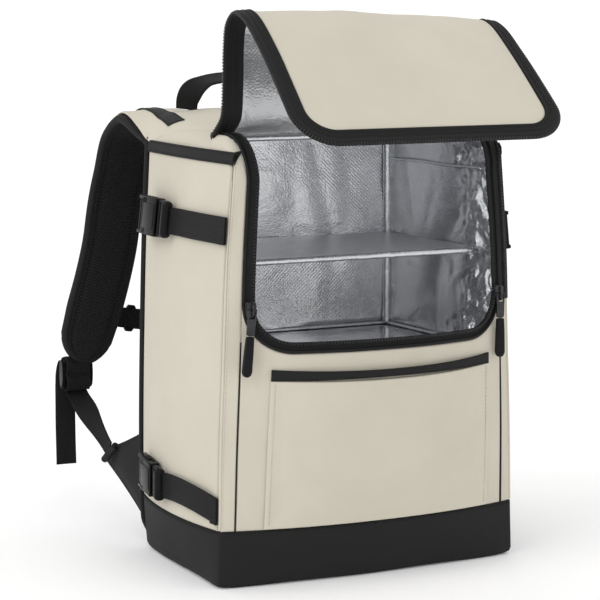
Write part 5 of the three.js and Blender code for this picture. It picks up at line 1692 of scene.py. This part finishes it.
# %% Ladder locks, webbing and wings
LADDER = {"x": -195.5, "y": 252.0, "z": 179.6, "half": 19.0, "depth": 8.9, "cheek": 3.8, "bulge": 5.2,
          "tall": 17.6}
WEB_ROWS = (
    # x, y, z
    (-180.5, 197, 98), (-186, 220, 121), (-191, 242, 142), (-194, 255, 155), (-196, 264.5, 170),
    (-197, 266, 187), (-199, 270, 193), (-201, 274, 185), (-203, 274, 135), (-204, 270, 70),
)
STRAP_WEB = 25.0
AT_WING = np.array([0, -0.85, 0.53])
HANGING = np.array([1.0, 0, 0])
WING = {"top": 130.0, "bottom": 30.0, "tip_top": (178.0, 105.5), "tip_low": (211.0, 85.0), "tip_x": -180.0}
web_path = Path(WEB_ROWS)
FOLD_ROWS = (
    # x, y, z
    (-195, 262, 161), (-195, 254, 159), (-195, 249.0, 164), (-195.3, 247.4, 171), (-195.6, 250.6, 178),
    (-195.8, 247.4, 185), (-196, 248, 193), (-196.2, 253, 198.5), (-196.5, 262, 198), (-197, 267, 191),
)
FOLD_WIDE = 29.5
fold_path = Path(FOLD_ROWS)


def ladder_lock():
    """x across the strap, y to the wearer, z up; the cheeks bulge towards their middle."""
    turns = np.linspace(0, 2 * np.pi, 28, endpoint=False)
    middle = LADDER["depth"] / 2
    lens = [(middle + LADDER["bulge"] * math.sin(a), LADDER["tall"] * math.cos(a)) for a in turns]
    side_on = Matrix(((0, 0, 1, 0), (1, 0, 0, 0), (0, 1, 0, 0), (0, 0, 0, 1)))
    parts = []
    for x in (-LADDER["half"], LADDER["half"] - LADDER["cheek"]):
        parts.append(placed(plate(lens, x, x + LADDER["cheek"], 1.2, 3), side_on))
    for z, deep in ((14.5, (0.6, 6.6)), (3.5, (1.2, 7.8)), (-13.5, (2.0, 8.6))):
        parts.append(block((-17, deep[0], z - 2.6), (17, deep[1], z + 2.6), 1.6, 3))
    return gather(*parts)


def strap_web(u, v):
    heading = web_path.heading(v)
    across = lerp(AT_WING, HANGING, ease(v, 0, 0.42)[..., None])
    across = unit(across - heading * np.sum(across * heading, axis=-1, keepdims=True))
    return web_path.at(v) + across * ((u - 0.5) * STRAP_WEB)[..., None]


def web_fold(u, v):
    """The webbing where it turns over the lock's bars, seen from the bag."""
    return fold_path.at(v) + xyz((u - 0.5) * FOLD_WIDE, 0, 0.8 * np.sin(9 * u))


def web_buckling(points, u, v):
    folded = np.exp(-((v - 0.5) / 0.12) ** 2)
    return 0.5 * waves(points, 40, 71) + 0.9 * folded * np.sin(points[..., 2] / 2.6)


def wing(u, v):
    root_y = BACK_Y + 2 * PIPING_R + 3 * GAP
    low = lerp(WING["bottom"], WING["top"], v)
    root = body("back", low) - PIPING_R - GAP + TAPE
    y = lerp(root_y, lerp(WING["tip_low"][0], WING["tip_top"][0], v), u)
    z = lerp(low, lerp(WING["tip_low"][1], WING["tip_top"][1], v), u)
    return xyz(lerp(-root, WING["tip_x"], u ** 1.5), y, z)


lock_place = Matrix.Translation((LADDER["x"], LADDER["y"], LADDER["z"]))
for side, mirror in SIDES:
    make(f"ladder_{side}", *placed(ladder_lock(), lock_place), "plastic", mirror=mirror, sharp=45,
         stands_for=[f"ladder_lock_{side}"])
    cloth(f"strap_webbing_{side}", strap_web, TAPE, "webbing", 12, 170, roll=0.8, relief=web_buckling, fade=3,
          mirror=mirror, held="hung", stands_for=[f"strap_web_{side}"], rests_on=[f"ladder_lock_{side}"])
    cloth(f"web_fold_{side}", web_fold, TAPE, "webbing", 14, 70, roll=0.8, mirror=mirror, held="folded",
          rests_on=[f"ladder_lock_{side}"])
    cloth(f"wing_cloth_{side}", wing, TAPE, "black", 50, 50, facing=-1, roll=0.9, mirror=mirror,
          relief=lambda points, u, v: 1.2 * waves(points, 60, 81),
          stands_for=[f"strap_wing_{side}"], rests_on=[f"strap_wing_{side}"])
    tip, out = on(wing, 0.985, np.linspace(-0.02, 1.02, 30).clip(0, 1), facing=-1)
    make(f"wing_bar_{side}", *rod(tip + 0.4 * out, 4.2, 14), "webbing", mirror=mirror)
    for share in (0.8, 0.86):
        stitch("black", wing, share, np.linspace(0.06, 0.94, 60), -1, mirror)
    for share in (0.03, 0.97):
        stitch("black", wing, np.linspace(0.02, 0.9, 90), share, -1, mirror)
    for share in (0.962, 0.985):
        stitch("black", strap_web, np.linspace(0.08, 0.92, 30), share, mirror=mirror)
print("webbing is", round(web_path.length), "mm long from wing to tail")

# %% [markdown]
# A thin sternum strap joins the two shoulder straps, with a small release buckle in the middle and a
# slide bar at each end. The carry handle is a flat band of webbing that stands up from the top.

# %% Sternum strap
STERNUM = {"start": -145.2, "z": 243.0, "y": 253.3, "sag": 12.0, "buckle": 22.0, "width": 24.0, "lean": 19.0,
           "slide_at": 0.13, "slide_lean": 8.0}


def sternum_path():
    shares = np.array([0, 0.35, 0.7, 1])
    x = lerp(STERNUM["start"], -STERNUM["buckle"] - GAP + 5, shares)
    return Path(xyz(x, STERNUM["y"], STERNUM["z"] - STERNUM["sag"] * (1 - (1 - shares) ** 2)))


chest = sternum_path()


def sternum_web(u, v):
    lean = math.radians(STERNUM["lean"]) * (1 - ease(v, 0, 0.3))
    across = xyz(np.sin(lean), 0, np.cos(lean))
    return chest.at(v) + across * ((u - 0.5) * STERNUM["width"])[..., None]


def sternum_buckle():
    socket = [(-21.5, -13), (-19, -15), (-4, -15), (-1.5, -12), (-1.5, 12), (-4, 15), (-19, 15), (-21.5, 13)]
    plug = [(-0.8, -11), (17, -11), (21.5, -7.5), (21.5, 7.5), (17, 11), (-0.8, 11)]
    parts = [
        plate(socket, -4, 4, 1.4, 3),
        plate(plug, -3.4, 3.4, 1.3, 3),
        block((-15, -8, 3.2), (-5, 8, 4.8), 0.8),
        block((6, -8, 2.8), (9, 8, 4.2), 0.7),
        block((12, -8, 2.8), (15, 8, 4.2), 0.7),
    ]
    return gather(*parts)


def slide_bar():
    frame_bars = [block((-4.5, z - 2.2, -2.4), (4.5, z + 2.2, 3.4), 1.5, 3) for z in (-13.5, 13.5)]
    rails = [block((x - 1.5, -14, -1.6), (x + 1.5, 14, 3.0), 1.2, 3) for x in (-4.2, 4.2)]
    return gather(*frame_bars, *rails)


for side, mirror in SIDES:
    cloth(f"sternum_webbing_{side}", sternum_web, TAPE, "webbing", 12, 90, roll=0.8, mirror=mirror,
          held="hung", stands_for=[f"sternum_strap_{side}"], rests_on=[f"strap_pad_{side}"])
    spot = chest.at(np.array(STERNUM["slide_at"]))
    lean = Matrix.Rotation(math.radians(STERNUM["slide_lean"]), 4, "Y")
    place = Matrix.Translation(Vector(spot)) @ lean @ UPRIGHT
    make(f"sternum_slide_{side}", *placed(slide_bar(), place), "plastic", mirror=mirror, sharp=45)
middle = Matrix.Translation((0, STERNUM["y"], STERNUM["z"] - STERNUM["sag"])) @ UPRIGHT
make("chest_buckle", *placed(sternum_buckle(), middle), "plastic", sharp=45, stands_for=["sternum_buckle"])
print("sternum strap made")

# %% Carry handle
HANDLE = {"x": 119.0, "y": 108.0, "rise": 36.0, "width": 26.0, "depth": 2.5, "leg_turn": 90.0,
          "top_turn": 160.0}
foot_z = float(top_z(HANDLE["x"] - HANDLE["width"] / 2, HANDLE["y"] + HANDLE["depth"])) + GAP
left_leg = [
    # share of the leg's x, y beyond the leg, share of the rise
    (-1.0, 0, 0.0), (-0.985, 1, 0.3), (-0.93, 2, 0.62), (-0.82, 3, 0.86), (-0.66, 4, 0.97), (-0.33, 4, 1.0),
    (0.0, 4, 1.0),
]
left_points = [(x * HANDLE["x"], HANDLE["y"] + y, foot_z + rise * HANDLE["rise"]) for x, y, rise in left_leg]
handle_path = Path([*left_points, *[(-x, y, z) for x, y, z in left_points[-2::-1]]])


def handle_band(u, v):
    """The left half of the band turns from flat against the back to level; the right half mirrors it."""
    from_leg = np.minimum(v, 1 - v)
    heading = handle_path.heading(from_leg)
    turn = np.radians(lerp(HANDLE["leg_turn"], HANDLE["top_turn"], ease(from_leg, 0.0, 0.17)))
    sideways = np.array([0.0, 1.0, 0.0])
    in_plane = unit(np.cross(sideways, heading))
    across = unit(sideways * np.cos(turn)[..., None] + in_plane * np.sin(turn)[..., None])
    left = handle_path.at(from_leg) + across * ((u - 0.5) * HANDLE["width"])[..., None]
    return left * np.where(v < 0.5, 1, -1)[..., None] ** np.array([1, 0, 0])


cloth("handle_band", handle_band, HANDLE["depth"], "webbing", 14, 200, roll=1.1, held="hung",
      stands_for=["carry_handle"], rests_on=["top_panel"])
for share in (0.12, 0.88):
    stitch("black", handle_band, share, np.linspace(0.01, 0.99, 320))
print("handle is", round(handle_path.length), "mm long")

# %% [markdown]
# ## Stitches
# Every row of stitches that the pieces asked for is joined here into one mesh for each thread, because
# thousands of separate objects would be slow and a bump pattern would vanish from close by.

# %% Stitches
for colour, rows in STITCHES.items():
    points, faces = gather(*rows)
    make(f"stitches_{colour}", points, faces, f"{colour} thread")
    print(colour, "stitches:", len(faces) // 6)

# %% [markdown]
# ## Stage and light
# The photograph has a white background and almost no shadow. A pale floor and a plain white world come
# close to it, with a big soft light from the left, a faint one from the right, and a small one in front
# for glints on the foil. The floor still takes a soft shade near the bag, which the photograph lacks.

# %% Stage and light
bm = bmesh.new()
bmesh.ops.create_grid(bm, x_segments=1, y_segments=1, size=60)
floor_mesh = bpy.data.meshes.new("floor")
bm.to_mesh(floor_mesh)
bm.free()
floor = bpy.data.objects.new("floor", floor_mesh)
floor.location.z = -0.0005
bpy.context.collection.objects.link(floor)
paper = bpy.data.materials.new("paper")
paper.use_nodes = True
PAPER = {"Base Color": (0.97, 0.97, 0.97, 1), "Roughness": 0.9, "Emission Color": (1, 1, 1, 1),
         "Emission Strength": 0.08}
for label, value in PAPER.items():
    paper.node_tree.nodes["Principled BSDF"].inputs[label].default_value = value
floor_mesh.materials.append(paper)

world = bpy.data.worlds.new("studio")
world.use_nodes = True
world.node_tree.nodes["Background"].inputs["Color"].default_value = (1, 1, 1, 1)
world.node_tree.nodes["Background"].inputs["Strength"].default_value = 0.92
bpy.context.scene.world = world
LAMPS = (
    # name, direction that it shines from, degrees across, power
    ("key", (-2.6, -0.6, 2.0), 40, 0.65),
    ("fill", (1.8, -1.6, 1.4), 60, 0.06),
    ("glint", (-1.0, -2.4, 2.2), 5, 0.1),
)
for name, spot, wide, power in LAMPS:
    lamp = bpy.data.lights.new(name, "SUN")
    lamp.angle = math.radians(wide)
    lamp.energy = power
    holder = bpy.data.objects.new(name, lamp)
    holder.location = spot
    holder.rotation_euler = (-Vector(spot)).to_track_quat("-Z", "Y").to_euler()
    bpy.context.collection.objects.link(holder)
bpy.context.scene.view_settings.view_transform = "Standard"
print("stage set with", len(LAMPS), "lamps")
